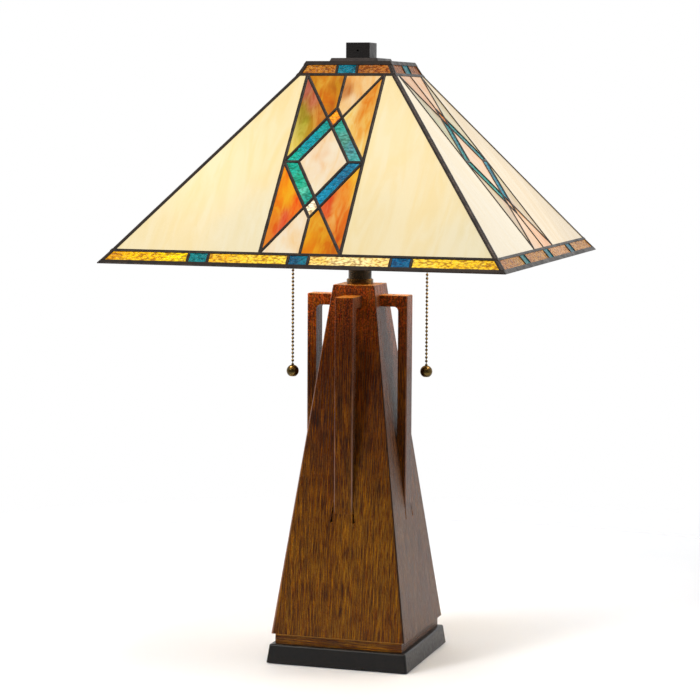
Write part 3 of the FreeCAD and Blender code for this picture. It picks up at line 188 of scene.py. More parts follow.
def wood(name, tapered=False, level=False):
    """Stained open-grained wood: golden low down; near the top redder, partly painted warm bulb
    light, and speckled.
    """
    m = Shader(name)
    where = m.node("TexCoord").outputs["Object"]
    z = m.node("SeparateXYZ", {"Vector": where}).outputs[2]
    grain = grain_place(m, where, tapered, level)
    broad = m.noise(m.place((16, 16, 5)), 1.0, 4, 0.6, 0.8)
    patch = m.noise(m.place((60, 60, 9), source=grain), 1.0, 3, 0.6, 0.6)
    figure = m.noise(m.place((700, 700, 20), source=grain), 1.0, 5, 0.72, 0.3)
    fibre = m.noise(m.place((1350, 1350, 46), source=grain), 1.0, 3, 0.7, 0.1)
    fleck = m.noise(m.place((1100, 1100, 420), source=grain), 1.0, 2, 0.6)
    pores = m.noise(m.place((1500, 1500, 46), source=grain), 1.0, 2, 0.6)
    stipple = m.noise(m.place((760, 760, 560)), 1.0, 2, 0.55)

    # Stain: two tones by height, the upper one redder partly from painted warm bulb light, then
    # darker patches, fibres, flecks and pores.
    low = m.ramp(figure, ((0.30, linear(78, 45, 3)), (0.44, linear(106, 63, 5)),
                          (0.56, linear(136, 84, 8)), (0.70, linear(186, 122, 18))))
    high = m.ramp(figure, ((0.30, linear(64, 32, 4)), (0.45, linear(110, 58, 7)),
                           (0.60, linear(146, 78, 11)), (0.76, linear(194, 110, 24))))
    # The redder upper tone is partly stain and partly painted warm light from the bulbs.
    rise = m.maths("ADD", z, m.maths("MULTIPLY", broad, 0.10))
    colour = m.mix(m.span(rise, 0.31, 0.43), low, high)
    colour = m.mix(m.span(broad, 0.38, 0.62, 0.0, 0.9), m.gamma(colour, 1.2), colour)
    colour = m.mix(m.span(fibre, 0.46, 0.58), m.gamma(colour, 0.86), m.gamma(colour, 1.45))
    colour = m.mix(m.span(fleck, 0.50, 0.62), colour, m.gamma(colour, 1.16))
    colour = m.mix(m.span(patch, 0.50, 0.70, 0.0, 0.7), colour, m.gamma(colour, 1.3))
    colour = m.mix(m.span(pores, 0.54, 0.61, 0.0, 0.7), colour, linear(50, 28, 4))
    waist = m.maths("MULTIPLY", m.span(z, 0.15, 0.23), m.span(z, 0.30, 0.38, 0.75, 0.0))
    colour = m.mix(waist, colour, m.gamma(colour, 1.28))

    # Near the top, painted red glints of the bulbs' warm light over the speckle, and dark speckles,
    # both fainter on faces that look right.
    facing = m.node("NewGeometry").outputs["Normal"]
    sideways, _, upward = m.node("SeparateXYZ", {"Vector": facing}).outputs
    flank = m.span(sideways, 0.3, 0.8)
    zone = m.maths("MULTIPLY", m.span(rise, 0.36, 0.45), m.span(flank, 0.0, 1.0, 1.0, 0.25))
    # Painted highlight: red glints of the bulbs' warm light, in the top zone.
    painted_glint = m.maths("MULTIPLY", m.span(stipple, 0.53, 0.60), m.maths("MULTIPLY", zone, 0.7))
    colour = m.mix(painted_glint, colour, linear(214, 84, 22))
    shade = m.maths("MULTIPLY", m.span(stipple, 0.47, 0.40), m.maths("MULTIPLY", zone, 0.7))
    colour = m.mix(shade, colour, linear(46, 20, 6))

    # Painted light: tops get a painted gold highlight, faces that look right a painted grey
    # reflection, and a level strip's upper edge a painted highlight.
    # Painted highlight: up-facing faces turn gold, as if lit by the bulbs above.
    colour = m.mix(m.span(upward, 0.6, 0.95, 0.0, 0.7), colour, linear(238, 158, 52))
    # Painted reflection: faces that look right are greyed, like a satin finish mirroring the white
    # surround.
    colour = m.mix(m.maths("MULTIPLY", flank, 0.35), colour, linear(70, 60, 56))
    # Painted highlight: a gold line along the level strip's upper lip, where it catches the light.
    if level:
        colour = m.mix(m.span(z, 0.0285, 0.0298, 0.0, 0.6), colour, linear(214, 150, 60))
    colour = edge_lines_and_highlights(m, colour, where, tapered)
    relief = m.maths("ADD", m.maths("MULTIPLY", fibre, 0.6), m.maths("MULTIPLY", pores, -0.8))
    normal = m.bump(relief, 0.0005, 0.8, m.bump(stipple, 0.0012, 0.5))
    return m.surface(Base_Color=colour, Roughness=m.span(figure, 0.3, 0.7, 0.34, 0.22),
                     Normal=normal, Specular_IOR_Level=0.17)


def metal(name, light, dark, rough, metallic=1.0, blotch=60.0, grain=900.0, depth=0.0002):
    """Metal with a patchy patina and a fine grain of a given depth."""
    m = Shader(name)
    patches = m.noise(m.place((1, 1, 1)), blotch, 5, 0.6, 0.6)
    fine = m.noise(m.place((1, 1, 1)), grain, 2, 0.5)
    colour = m.ramp(patches, ((0.36, dark), (0.60, light)))
    colour = m.mix(m.span(fine, 0.4, 0.7, 0.0, 0.25), colour, m.gamma(colour, 1.25))
    return m.surface(Base_Color=colour, Metallic=metallic,
                     Roughness=m.span(patches, 0.3, 0.7, rough + 0.12, rough - 0.08),
                     Normal=m.bump(fine, depth, 0.6))


def plain(name, light, dark, rough, scale=400.0, depth=0.00015, **more):
    """Moulded, painted or felted surface with one fine mottle."""
    m = Shader(name)
    fine = m.noise(m.place((1, 1, 1)), scale, 4, 0.6)
    colour = m.ramp(fine, ((0.35, dark), (0.65, light)))
    return m.surface(Base_Color=colour,
                     Roughness=m.span(fine, 0.3, 0.7, rough + 0.1, rough - 0.05),
                     Normal=m.bump(fine, depth, 0.5), **more)


DENT_SHADE = (0.40, 0.30, 0.26)   # share of each colour that a fully hammered dent keeps


def glass(name, across, along, contrast, hammer=0.0, body=0.3, turn=0.0):
    """Lit art glass: its tint and glow come with the mesh, its streaks and ripple from noise.

    across and along scale the streaks; body is the share of the tint seen by outside light.
    """
    m = Shader(name)
    flow = m.attribute("flow", "Vector")
    tint = m.attribute("tint")
    streak = m.noise(m.place((across, along, 1), (0, 0, turn), flow), 1.0, 4, 0.55, 1.2)
    wisp = m.noise(m.place((across * 3.1, along * 2.2, 1), (0, 0, turn), flow), 1.0, 3, 0.6, 0.8)
    colour = m.mix(m.span(streak, 0.38, 0.62), m.gamma(tint, 1 + contrast),
                   m.gamma(tint, 1 - contrast * 0.45))
    colour = m.mix(m.span(wisp, 0.45, 0.7, 0.0, 0.5), colour, m.gamma(colour, 1 - contrast * 0.5))
    shine = m.attribute("glow", "Fac")
    if hammer:
        dents = m.cells(m.place((2.6, 5.4, 1), source=flow), 1.0)
        ripple = m.noise(m.place((4.5, 12, 1), source=flow), 1.0, 3, 0.6, 0.8)
        height = m.maths("ADD", dents, m.maths("MULTIPLY", ripple, 0.8))
        facets = m.span(height, 0.78, 1.18)
        shaded = m.mix(1.0, colour, tuple(c ** hammer for c in DENT_SHADE), "MULTIPLY")
        colour = m.mix(facets, m.gamma(colour, 0.92), shaded)
        normal = m.bump(height, 0.001, 0.5)
    else:
        normal = m.bump(m.noise(flow, 0.7, 3, 0.5, 0.5), 0.0009, 0.35)
    return m.surface(Base_Color=m.mix(1.0, colour, (body,) * 3, "MULTIPLY"), Roughness=0.16,
                     Normal=normal, Specular_IOR_Level=0.12 if hammer else 0.2,
                     Emission_Color=colour, Emission_Strength=shine)


def lit_bulb():
    m = Shader("bulb_envelope")
    frost = m.noise(m.place((1, 1, 1)), 300, 3, 0.6)
    return m.surface(Base_Color=m.ramp(frost, ((0.3, linear(246, 240, 226)),
                                               (0.7, linear(255, 250, 238)))),
                     Roughness=0.35, Normal=m.bump(frost, 0.0001, 0.4),
                     Emission_Color=(1.0, 0.80, 0.56), Emission_Strength=42.0)


CAME = metal("came_patina", linear(52, 40, 31), linear(29, 22, 17), 0.40, 0.6, 90, 500, 0.00008)
BRONZE = metal("aged_bronze", linear(62, 52, 40), linear(34, 28, 22), 0.3, 0.85, 40, 500, 0.00006)
FINISHES = {   # nodes whose CAD shape stays, and what they are made of
    "felt_pad": plain("green_felt", linear(46, 70, 52), linear(22, 38, 28), 0.95, 1800, 0.0006,
                      Sheen_Weight=0.6),
    "plinth": plain("plinth_black", linear(22, 19, 18), linear(12, 11, 11), 0.34, 260, 0.00025,
                    Specular_IOR_Level=0.35),
    "cord_bushing": plain("bushing_plastic", linear(26, 24, 22), linear(16, 15, 14), 0.5),
    "centre_pipe bottom_washer bottom_nut riser_rod shade_seat":
        metal("zinc_steel", linear(190, 188, 182), linear(140, 138, 132), 0.35),
    "neck_ring": metal("ring_brass", linear(120, 88, 46), linear(58, 42, 26), 0.24),
    "neck_tube cluster_cup cluster_cap socket_arms": BRONZE,
    "socket_caps socket_shells chain_guides":
        metal("socket_brass", linear(196, 156, 84), linear(140, 104, 52), 0.3),
    "socket_liners": plain("liner_card", linear(196, 172, 132), linear(160, 136, 100), 0.9, 500),
    "socket_cores centre_contacts switch_cam_right switch_cam_left":
        plain("core_phenolic", linear(48, 36, 30), linear(28, 22, 20), 0.45),
    "screw_shells bulb_base_right bulb_base_left":
        metal("screw_aluminium", linear(210, 208, 200), linear(170, 168, 160), 0.3),
    "pull_wire_right pull_wire_left chain_upper_right chain_upper_left chain_lower_right "
    "chain_lower_left chain_ball_right chain_ball_left":
        metal("chain_bronze", linear(120, 98, 52), linear(74, 62, 40), 0.2, 0.95, 150, 700,
              0.00002),
    "shade_cap": metal("cap_metal", linear(66, 58, 54), linear(40, 35, 33), 0.4, 0.7),
    "finial": metal("finial_metal", linear(44, 40, 38), linear(26, 24, 23), 0.38, 0.6),
    "column": wood("stained_wood_column", tapered=True),
    "foot_step": wood("stained_wood_step", level=True),
    "strap_front strap_right strap_back strap_left": wood("stained_wood"),
    "crown_channel": CAME,
    "bulb_glass_right": lit_bulb(),
    "bulb_glass_left": lit_bulb(),
}
for names, material in FINISHES.items():
    for name in names.split():
        NODES[name].data.materials.clear()
        NODES[name].data.materials.append(material)


# ---------------------------------------------------------------- shade frame

GLASS = 3.0          # glass thickness
PROUD = 0.75         # solder above the glass, on both faces
TUCK = 0.35          # glass and solder overlap
MIDDLE_HALF = 40.5   # patterned band, half width to its line
OUTER_DIAMOND = 68.5   # half heights of the pattern's two diamonds
INNER_DIAMOND = 43.0
# Level lines of the shade, as (half width, height).
RIM_LINE = (203.5, 418.3)
EAVE_LINE = (193.2, 430.2)
BROW_LINE = (51.1, 602.1)
TOP_LINE = (43.8, 615.6)
BULB_REACH = 138.0   # bulb centres from the lamp's axis
BULB_Z = 446.0
CLUSTER_TURN = math.radians(17.4)   # turn of the two sockets' line from the X axis
GLOW_REACH = 150.0   # distance from a bulb at which it adds 1 to the glow
GLOW_NEAREST = 60.0  # no place counts as nearer to a bulb than this
GLOW_MOST = 2.2
SHARP = math.radians(40.0)   # edges that turn more than this are not smoothed


class Tier:
    """One flat tier of a side: u across, s up the slope from the lower edge, n out of the glass."""

    def __init__(self, low_half, low_z, high_half, high_z):
        self.foot = Vector((0, -low_half, low_z))
        slope = Vector((0, low_half - high_half, high_z - low_z))
        self.length = slope.length
        self.up = slope.normalized()
        self.out = Vector((0, -self.up.z, self.up.y))

    def at(self, side, u, s, n):
        """Place in the lamp's frame."""
        place = self.foot + self.up * s + self.out * n + Vector((u, 0, 0))
        return Matrix.Rotation(side * math.pi / 2, 3, "Z") @ place

    def flat(self, side, place):
        """(u, s) of a place in the lamp's frame."""
        local = Matrix.Rotation(-side * math.pi / 2, 3, "Z") @ place - self.foot
        return local.x, local.dot(self.up)

    def section(self, s, n):
        """(half width, height) of a place."""
        place = self.foot + self.up * s + self.out * n
        return -place.y, place.z

    def section_at(self, height, n):
        return self.section((height - self.foot.z - self.out.z * n) / self.up.z, n)


RIM = Tier(*RIM_LINE, *EAVE_LINE)
MAIN = Tier(*EAVE_LINE, *BROW_LINE)
CROWN = Tier(*BROW_LINE, *TOP_LINE)


def glow_at(place, out):
    """How brightly the two bulbs show through a pane at a place, from 0 up."""
    total = 0.0
    for way in (-1, 1):
        bulb = Vector((way * BULB_REACH * math.cos(CLUSTER_TURN),
                       way * BULB_REACH * math.sin(CLUSTER_TURN), BULB_Z))
        ray = place - bulb
        near = GLOW_REACH / max(ray.length, GLOW_NEAREST)
        total += max(0.0, ray.normalized().dot(out)) * near ** 2
    return total


class Piece:
    """A mesh being gathered, in millimetres, with a tint, a glow and flow coordinates per point."""

    def __init__(self):
        self.points = []
        self.faces = []
        self.tints = []
        self.glows = []
        self.flows = []

    def point(self, place, tint=(1.0, 1.0, 1.0), glow=0.0, flow=(0.0, 0.0, 0.0)):
        self.points.append(place * MM)
        self.tints += (*tint, 1.0)
        self.glows.append(glow)
        self.flows.extend(flow)
        return len(self.points) - 1

    def rings(self, rings, closed=False):
        """Skins a run of point rings; open runs are capped."""
        count = len(rings[0])
        pairs = list(zip(rings, rings[1:] + (rings[:1] if closed else [])))
        for low, high in pairs:
            for i in range(count):
                j = (i + 1) % count
                self.faces.append((low[i], low[j], high[j], high[i]))
        if not closed:
            self.faces.append(tuple(reversed(rings[0])))
            self.faces.append(tuple(rings[-1]))

    def finish(self, name, material, body, nodes, lit=False):
        """Makes the mesh a piece that rides on a body and stands for CAD nodes."""
        mesh = bpy.data.meshes.new(name)
        mesh.from_pydata(self.points, [], self.faces)
        if lit:
            for label, kind, field, values in (("tint", "FLOAT_COLOR", "color", self.tints),
                                               ("glow", "FLOAT", "value", self.glows),
                                               ("flow", "FLOAT_VECTOR", "vector", self.flows)):
                mesh.attributes.new(label, kind, "POINT").data.foreach_set(field, values)
        mesh.materials.append(material)
        mesh.validate()
        made = bmesh.new()
        made.from_mesh(mesh)
        bmesh.ops.recalc_face_normals(made, faces=made.faces)
        made.to_mesh(mesh)
        made.free()
        mesh.shade_smooth()
        mesh.set_sharp_from_angle(angle=SHARP)
        shown = bpy.data.objects.new(name, mesh)
        bpy.context.scene.collection.objects.link(shown)
        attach(shown, body)
        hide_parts(*nodes)


# ---------------------------------------------------------------- panes

HAMMERED = 0.15      # dents deeper than this are the pits of hammered glass
SOFTEST = 0.012      # keeps a coloured spot's weight finite at its own place
FALL_OFF = 1.6


def outlines(node, tier):
    """(side, outline) of every pane of a glass node, read from the outer faces of its solids."""
    solids = bmesh.new()
    solids.from_mesh(NODES[node].data)
    bmesh.ops.remove_doubles(solids, verts=solids.verts, dist=1e-6)
    bmesh.ops.dissolve_limit(solids, angle_limit=0.01, verts=solids.verts, edges=solids.edges)
    found = []
    for side in range(4):
        out = Matrix.Rotation(side * math.pi / 2, 3, "Z") @ tier.out
        for face in solids.faces:
            if face.normal.dot(out) > 0.999:
                found.append((side, [tier.flat(side, v.co / MM) for v in face.verts]))
    solids.free()
    return found


def grown(outline, by):
    """Outline, run anticlockwise, with every edge moved out."""
    area = sum(a[0] * b[1] - b[0] * a[1] for a, b in zip(outline, outline[1:] + outline[:1]))
    points = [Vector(p) for p in (outline if area > 0 else outline[::-1])]
    made = []
    for i, point in enumerate(points):
        back = (point - points[i - 1]).normalized()
        ahead = (points[(i + 1) % len(points)] - point).normalized()
        back = Vector((back.y, -back.x))
        ahead = Vector((ahead.y, -ahead.x))
        made.append(point + (back + ahead) * min(by / (1 + back.dot(ahead)), 2.5 * by))
    return made


def blended(spots, across, up):
    """Colour at a place of a pane, from its coloured spots."""
    total = 0.0
    colour = [0.0, 0.0, 0.0]
    for place_u, place_s, shade in spots:
        weight = 1.0 / ((across - place_u) ** 2 + (up - place_s) ** 2 + SOFTEST) ** FALL_OFF
        total += weight
        for i in range(3):
            colour[i] += weight * shade[i]
    return tuple(c / total for c in colour)


def add_pane(piece, tier, side, outline, step, dent, spots, glow, swirl, number):
    """A pane with a worked outer face, coloured by spots placed by fractions of its box."""
    flat = bmesh.new()
    flat.faces.new([flat.verts.new((u, s, 0)) for u, s in grown(outline, TUCK)])
    box = []
    for axis in (0, 1):
        ends = [v.co[axis] for v in flat.verts]
        low, wide = min(ends), max(ends) - min(ends)
        box.append((low, wide))
        cut = Vector((axis == 0, axis == 1, 0))
        count = max(1, round(wide / step))
        for i in range(1, count):
            bmesh.ops.bisect_plane(flat, geom=[*flat.verts, *flat.edges, *flat.faces], dist=1e-4,
                                   plane_co=cut * (low + wide * i / count), plane_no=cut)
    flat.verts.index_update()
    out = Matrix.Rotation(side * math.pi / 2, 3, "Z") @ tier.out
    seed = side * 7.3 + number * 1.7
    outer = []
    inner = []
    for v in flat.verts:
        u, s = v.co.x, v.co.y
        spot = Vector((u / 10, s / 10, seed))
        drift = noise.noise_vector(spot * 0.55) * swirl
        tint = blended(spots, (u - box[0][0]) / box[0][1] + drift.x,
                       (s - box[1][0]) / box[1][1] + drift.y)
        if dent > HAMMERED:
            near = noise.voronoi(spot * 4.2)[0][0]
            low = dent * min(1.0, near * near * 2.2) + 0.1 * dent * noise.noise(spot * 9)
        else:
            low = dent * (0.5 + 0.5 * noise.noise(spot * 0.7))
        place = tier.at(side, u, s, -max(0.0, low))
        shine = glow[0] + glow[1] * min(glow_at(place, out), GLOW_MOST)
        outer.append(piece.point(place, tint, shine, spot))
        inner.append(piece.point(tier.at(side, u, s, -GLASS), tint, shine, spot))
    for face in flat.faces:
        ring = [v.index for v in face.verts]
        piece.faces.append(tuple(outer[i] for i in ring))
        piece.faces.append(tuple(inner[i] for i in reversed(ring)))
        for loop in face.loops:
            if loop.edge.is_boundary:
                a, b = loop.vert.index, loop.link_loop_next.vert.index
                piece.faces.append((outer[b], outer[a], inner[a], inner[b]))
    flat.free()


def spots(*rows):
    return [(u, s, linear(*colour)) for u, s, colour in rows]


CREAM = spots(
    (0.1, 0.1, (247, 228, 180)), (0.5, 0.5, (253, 232, 182)), (0.9, 0.1, (243, 229, 190)),
    (0.5, 0.9, (250, 226, 166)), (0.2, 0.6, (255, 235, 186)), (0.8, 0.6, (253, 230, 176)))
PEACH = spots(
    (0.1, 0.2, (254, 230, 192)), (0.45, 0.55, (250, 206, 156)), (0.8, 0.2, (255, 224, 176)),
    (0.3, 0.85, (252, 218, 172)), (0.75, 0.75, (255, 234, 198)), (0.5, 0.1, (255, 240, 208)),
    (0.25, 0.45, (255, 236, 206)), (0.62, 0.4, (255, 232, 196)))
AMBER = spots(
    (0.2, 0.8, (208, 132, 4)), (0.55, 0.8, (232, 160, 40)), (0.85, 0.75, (200, 124, 4)),
    (0.55, 0.3, (226, 136, 8)), (0.1, 0.2, (216, 126, 4)), (0.9, 0.1, (206, 116, 4)))
# Art glass by node and quarter, as (left, upper); spots are (across, up, colour).
ART = {
    ("glass_triangles", True, True): spots(
        (0.1, 0.95, (188, 84, 70)), (0.4, 0.78, (198, 92, 62)), (0.12, 0.62, (172, 150, 28)),
        (0.75, 0.52, (214, 126, 34)), (0.3, 0.40, (164, 154, 20)), (0.55, 0.3, (206, 166, 42)),
        (0.1, 0.06, (248, 222, 118)), (0.3, 0.14, (230, 196, 70))),
    ("glass_wedges", True, True): AMBER,
    ("glass_wedges", False, True): spots(
        (0.2, 0.88, (252, 188, 104)), (0.7, 0.92, (254, 206, 136)), (0.10, 0.52, (206, 132, 60)),
        (0.42, 0.6, (249, 184, 98)), (0.2, 0.3, (255, 220, 168)), (0.1, 0.05, (254, 214, 150))),
    ("glass_triangles", False, True): spots(
        (0.95, 0.92, (236, 154, 44)), (0.66, 0.62, (238, 148, 36)), (0.3, 0.5, (252, 210, 118)),
        (0.85, 0.5, (246, 180, 68)), (0.62, 0.36, (247, 172, 66)), (0.9, 0.12, (253, 214, 126)),
        (0.1, 0.6, (254, 228, 150)), (0.45, 0.3, (252, 210, 120))),
    ("glass_triangles", True, False): spots(
        (0.1, 0.9, (250, 136, 2)), (0.3, 0.66, (255, 160, 2)), (0.75, 0.5, (249, 100, 10)),
        (0.15, 0.5, (242, 142, 6)), (0.5, 0.3, (232, 80, 46)), (0.1, 0.2, (234, 120, 20)),
        (0.5, 0.56, (252, 184, 14))),
    ("glass_triangles", False, False): spots(
        (0.9, 0.9, (252, 200, 66)), (0.7, 0.66, (248, 152, 44)), (0.2, 0.5, (232, 86, 34)),
        (0.55, 0.42, (248, 170, 72)), (0.75, 0.3, (238, 126, 30)), (0.9, 0.1, (224, 112, 12))),
    ("glass_wedges", True, False): PEACH,
    ("glass_wedges", False, False): spots(
        (0.2, 0.8, (240, 164, 30)), (0.5, 0.9, (234, 152, 18)), (0.2, 0.3, (242, 156, 10)),
        (0.6, 0.3, (230, 140, 6)), (0.9, 0.1, (216, 126, 6))),
    ("glass_bars", True, True): spots(
        (0.05, 0.05, (14, 180, 152)), (0.5, 0.5, (0, 150, 166)), (0.95, 0.9, (14, 156, 150))),
    ("glass_bars", False, True): spots(
        (0.1, 0.9, (44, 164, 144)), (0.5, 0.5, (84, 162, 140)), (0.7, 0.4, (66, 128, 146)),
        (0.9, 0.1, (70, 170, 164))),
    ("glass_bars", True, False): spots(
        (0.1, 0.9, (10, 170, 142)), (0.5, 0.5, (4, 172, 132)), (0.6, 0.3, (88, 214, 176)),
        (0.9, 0.1, (14, 158, 136))),
    ("glass_bars", False, False): spots(
        (0.95, 0.95, (20, 128, 164)), (0.6, 0.62, (14, 92, 132)), (0.4, 0.4, (0, 128, 166)),
        (0.05, 0.05, (6, 146, 184))),
    ("glass_squares", True, True): spots(
        (0.4, 0.6, (246, 152, 20)), (0.6, 0.2, (232, 130, 16))),
    ("glass_squares", True, False): spots(
        (0.4, 0.6, (255, 248, 214)), (0.6, 0.3, (250, 222, 158))),
    ("glass_diamonds", True, True): PEACH,
}
# Border glass, pane after pane from left to right.
RIM_AMBERS = (
    spots((0.0, 0.5, (212, 134, 8)), (0.4, 0.5, (254, 196, 2)), (1.0, 0.5, (255, 222, 4))),
    spots((0.0, 0.5, (238, 176, 22)), (0.5, 0.5, (248, 200, 40)), (1.0, 0.5, (254, 218, 62))),
    spots((0.0, 0.5, (250, 206, 92)), (0.5, 0.5, (254, 232, 160)), (1.0, 0.5, (254, 214, 116))),
    spots((0.0, 0.5, (252, 210, 60)), (0.5, 0.5, (252, 202, 30)), (1.0, 0.5, (244, 190, 24))))
RIM_TEALS = (
    spots((0.3, 0.5, (6, 138, 140)), (0.9, 0.5, (4, 122, 130))),
    spots((0.3, 0.5, (12, 84, 122)), (0.9, 0.5, (6, 116, 140))),
    spots((0.3, 0.5, (4, 92, 142)), (0.9, 0.5, (10, 104, 150))))
CROWN_AMBERS = (
    spots((0.2, 0.5, (206, 126, 28)), (0.9, 0.5, (196, 116, 26))),
    spots((0.1, 0.5, (176, 98, 26)), (0.9, 0.5, (196, 114, 36))))
CROWN_TEALS = (spots((0.3, 0.5, (14, 136, 160)), (0.9, 0.5, (8, 122, 146))),)
BORDERS = {"rim_glass_teal": RIM_TEALS, "rim_glass_amber": RIM_AMBERS,
           "crown_glass_teal": CROWN_TEALS, "crown_glass_amber": CROWN_AMBERS}
# Each side's glass: (colour, share) drawn into its panes, by side; other sheets, and on the right
# partly painted glancing-angle light.
NO_CHANGE = ((255, 255, 255), 0.0)
SIDE_SHEETS_AND_LIGHT = {
    "glass_triangles": (NO_CHANGE, ((206, 206, 168), 0.72), ((250, 214, 150), 0.16),
                        ((240, 210, 160), 0.24)),
    "glass_wedges": (NO_CHANGE, ((240, 192, 146), 0.7), ((250, 214, 150), 0.16),
                     ((240, 200, 150), 0.2)),
    "glass_diamonds": (NO_CHANGE, ((242, 196, 150), 0.75), NO_CHANGE, NO_CHANGE),
    "glass_bars": (NO_CHANGE, ((8, 116, 124), 0.6), NO_CHANGE, NO_CHANGE),
    "glass_squares": (NO_CHANGE, ((170, 92, 40), 0.7), NO_CHANGE, NO_CHANGE),
    "glass_cream": (NO_CHANGE, ((252, 238, 212), 0.7), NO_CHANGE, NO_CHANGE),
    "amber": (NO_CHANGE, ((158, 94, 46), 0.85), ((214, 142, 50), 0.3), ((226, 150, 40), 0.35)),
    "teal": (NO_CHANGE, ((6, 112, 112), 0.6), NO_CHANGE, NO_CHANGE),
}
FAR_CREAM = ((234, 212, 176), 0.85)   # the right side's rear cream pane is drawn darker
SIDE_GLOW = (1.0, 0.86, 0.97, 0.95)


def drawn(spot_list, sheet):
    """Coloured spots with a share of a sheet's colour mixed in."""
    colour, share = sheet
    other = linear(*colour)
    return [(u, s, tuple(a + (b - a) * share for a, b in zip(shade, other)))
            for u, s, shade in spot_list]


CREAM_GLASS = glass("cream_glass", 0.55, 0.10, 0.18, body=0.36)
STREAKY_GLASS = glass("streaky_amber_glass", 1.3, 0.34, 0.34, turn=0.5)
PEACH_GLASS = glass("peach_glass", 0.9, 0.28, 0.32, turn=-0.4)
TEAL_GLASS = glass("teal_glass", 1.6, 1.6, 0.22, hammer=0.5, body=0.16)
AMBER_GLASS = glass("amber_hammered_glass", 2.0, 1.2, 0.25, hammer=1.0, body=0.16)
PALE_AMBER_GLASS = glass("pale_amber_glass", 2.0, 1.2, 0.2, hammer=0.9, body=0.2)
# Glow, as (everywhere, added by nearness to the bulbs).
SMOOTH_GLOW = (0.54, 0.08)
AMBER_GLOW = (1.02, 0.18)
CROWN_AMBER_GLOW = (0.78, 0.12)
TEAL_GLOW = (0.84, 0.14)
BORDER_TEAL_GLOW = (0.72, 0.12)
PANES = (  # node, tier, material, slot, mesh step, dent depth, glow, swirl
    ("glass_cream", MAIN, CREAM_GLASS, "cream_glass", 5.0, 0.12, SMOOTH_GLOW, 0.06),
    ("glass_triangles", MAIN, STREAKY_GLASS, "streaky_amber_glass", 1.8, 0.12, SMOOTH_GLOW, 0.13),
    ("glass_wedges", MAIN, PEACH_GLASS, "peach_glass", 1.8, 0.12, SMOOTH_GLOW, 0.22),
    ("glass_diamonds", MAIN, PEACH_GLASS, "peach_glass", 1.8, 0.12, SMOOTH_GLOW, 0.25),
    ("glass_bars", MAIN, TEAL_GLASS, "teal_glass", 0.9, 0.35, TEAL_GLOW, 0.15),
    ("glass_squares", MAIN, PALE_AMBER_GLASS, "pale_amber_glass", 0.8, 0.4, AMBER_GLOW, 0.1),
    ("rim_glass_teal", RIM, TEAL_GLASS, "teal_glass", 0.9, 0.35, BORDER_TEAL_GLOW, 0.1),
    ("rim_glass_amber", RIM, AMBER_GLASS, "amber_hammered_glass", 0.9, 0.4, AMBER_GLOW, 0.1),
    ("crown_glass_teal", CROWN, TEAL_GLASS, "teal_glass", 0.9, 0.35, BORDER_TEAL_GLOW, 0.1),
    ("crown_glass_amber", CROWN, AMBER_GLASS, "amber_hammered_glass", 0.9, 0.4,
     CROWN_AMBER_GLOW, 0.1),
)


def pane_spots(node, side, order, u, s):
    """Coloured spots of a pane, by its node and its place on its side."""
    mirrored = side == BACK
    border = BORDERS.get(node)
    if border:
        row = border[(len(border) - 1 - order if mirrored else order) % len(border)]
        return drawn(row, SIDE_SHEETS_AND_LIGHT["teal" if "teal" in node else "amber"][side])
    if node == "glass_cream":
        far = (side, order) == (RIGHT, 1)
        return drawn(CREAM, FAR_CREAM if far else SIDE_SHEETS_AND_LIGHT[node][side])
    upper = s > MAIN.length / 2 or node == "glass_diamonds"
    left = node in ("glass_squares", "glass_diamonds") or (u < 0) != mirrored
    return drawn(ART[(node, left, upper)], SIDE_SHEETS_AND_LIGHT[node][side])


for node, tier, material, slot, step, dent, glow, swirl in PANES:
    found = outlines(node, tier)
    for side, side_name in enumerate(SIDES):
        piece = Piece()
        mine = sorted((o for number, o in found if number == side),
                      key=lambda o: (sum(p[0] for p in o) / len(o), sum(p[1] for p in o) / len(o)))
        for order, outline in enumerate(mine):
            u = sum(p[0] for p in outline) / len(outline)
            s = sum(p[1] for p in outline) / len(outline)
            add_pane(piece, tier, side, outline, step, dent, pane_spots(node, side, order, u, s),
                     [g * SIDE_GLOW[side] for g in glow], swirl, order)
        piece.finish(f"{node}_{side_name}", material, "shade", [node], lit=True)


# ---------------------------------------------------------------- solder and cames

BAND_LINE = 3.5      # widths of the solder lines
PATTERN_LINE = 3.2
DIVIDER_LINE = 3.0
BEAD_SINK = 0.25     # a bead's flat edges lie this deep in the glass
BEAD_STEP = 3.0      # between two sections of a bead
RIM_TEAL_PLACE = 101.7   # outer teal panes of the rim, from the side's middle
RIM_TEAL_HALF = 10.25    # half widths of the teal border panes, to their lines
CROWN_TEAL_HALF = 10.5
RIM_GLASS_HEIGHT = 10.2
CROWN_GLASS_HEIGHT = 9.2
EAVE_DOWN, EAVE_UP = 2.4, 0.6   # reach of a fold's came below and above its fold
BROW_DOWN, BROW_UP = 2.0, 1.5
FOLD_ROUND = 0.8     # radii that soften the came sections
CHANNEL_ROUND = 0.35
CORNER_ROUND = (2.4, 1.2, 0.8, 1.2)
CHANNEL_PROUD = 0.4  # rim channel above the glass
CHANNEL_LIP = 0.9    # height of its upright lower edge
CORNER_PROUD = 1.0
CORNER_LEG = 4.15    # width of a corner came along each side
CAME_STEP = 5.0      # between two sections of a came


def lump(place, size):
    """Uneven thickness of hand-run solder, from -1 to 1."""
    return noise.noise(place / size)


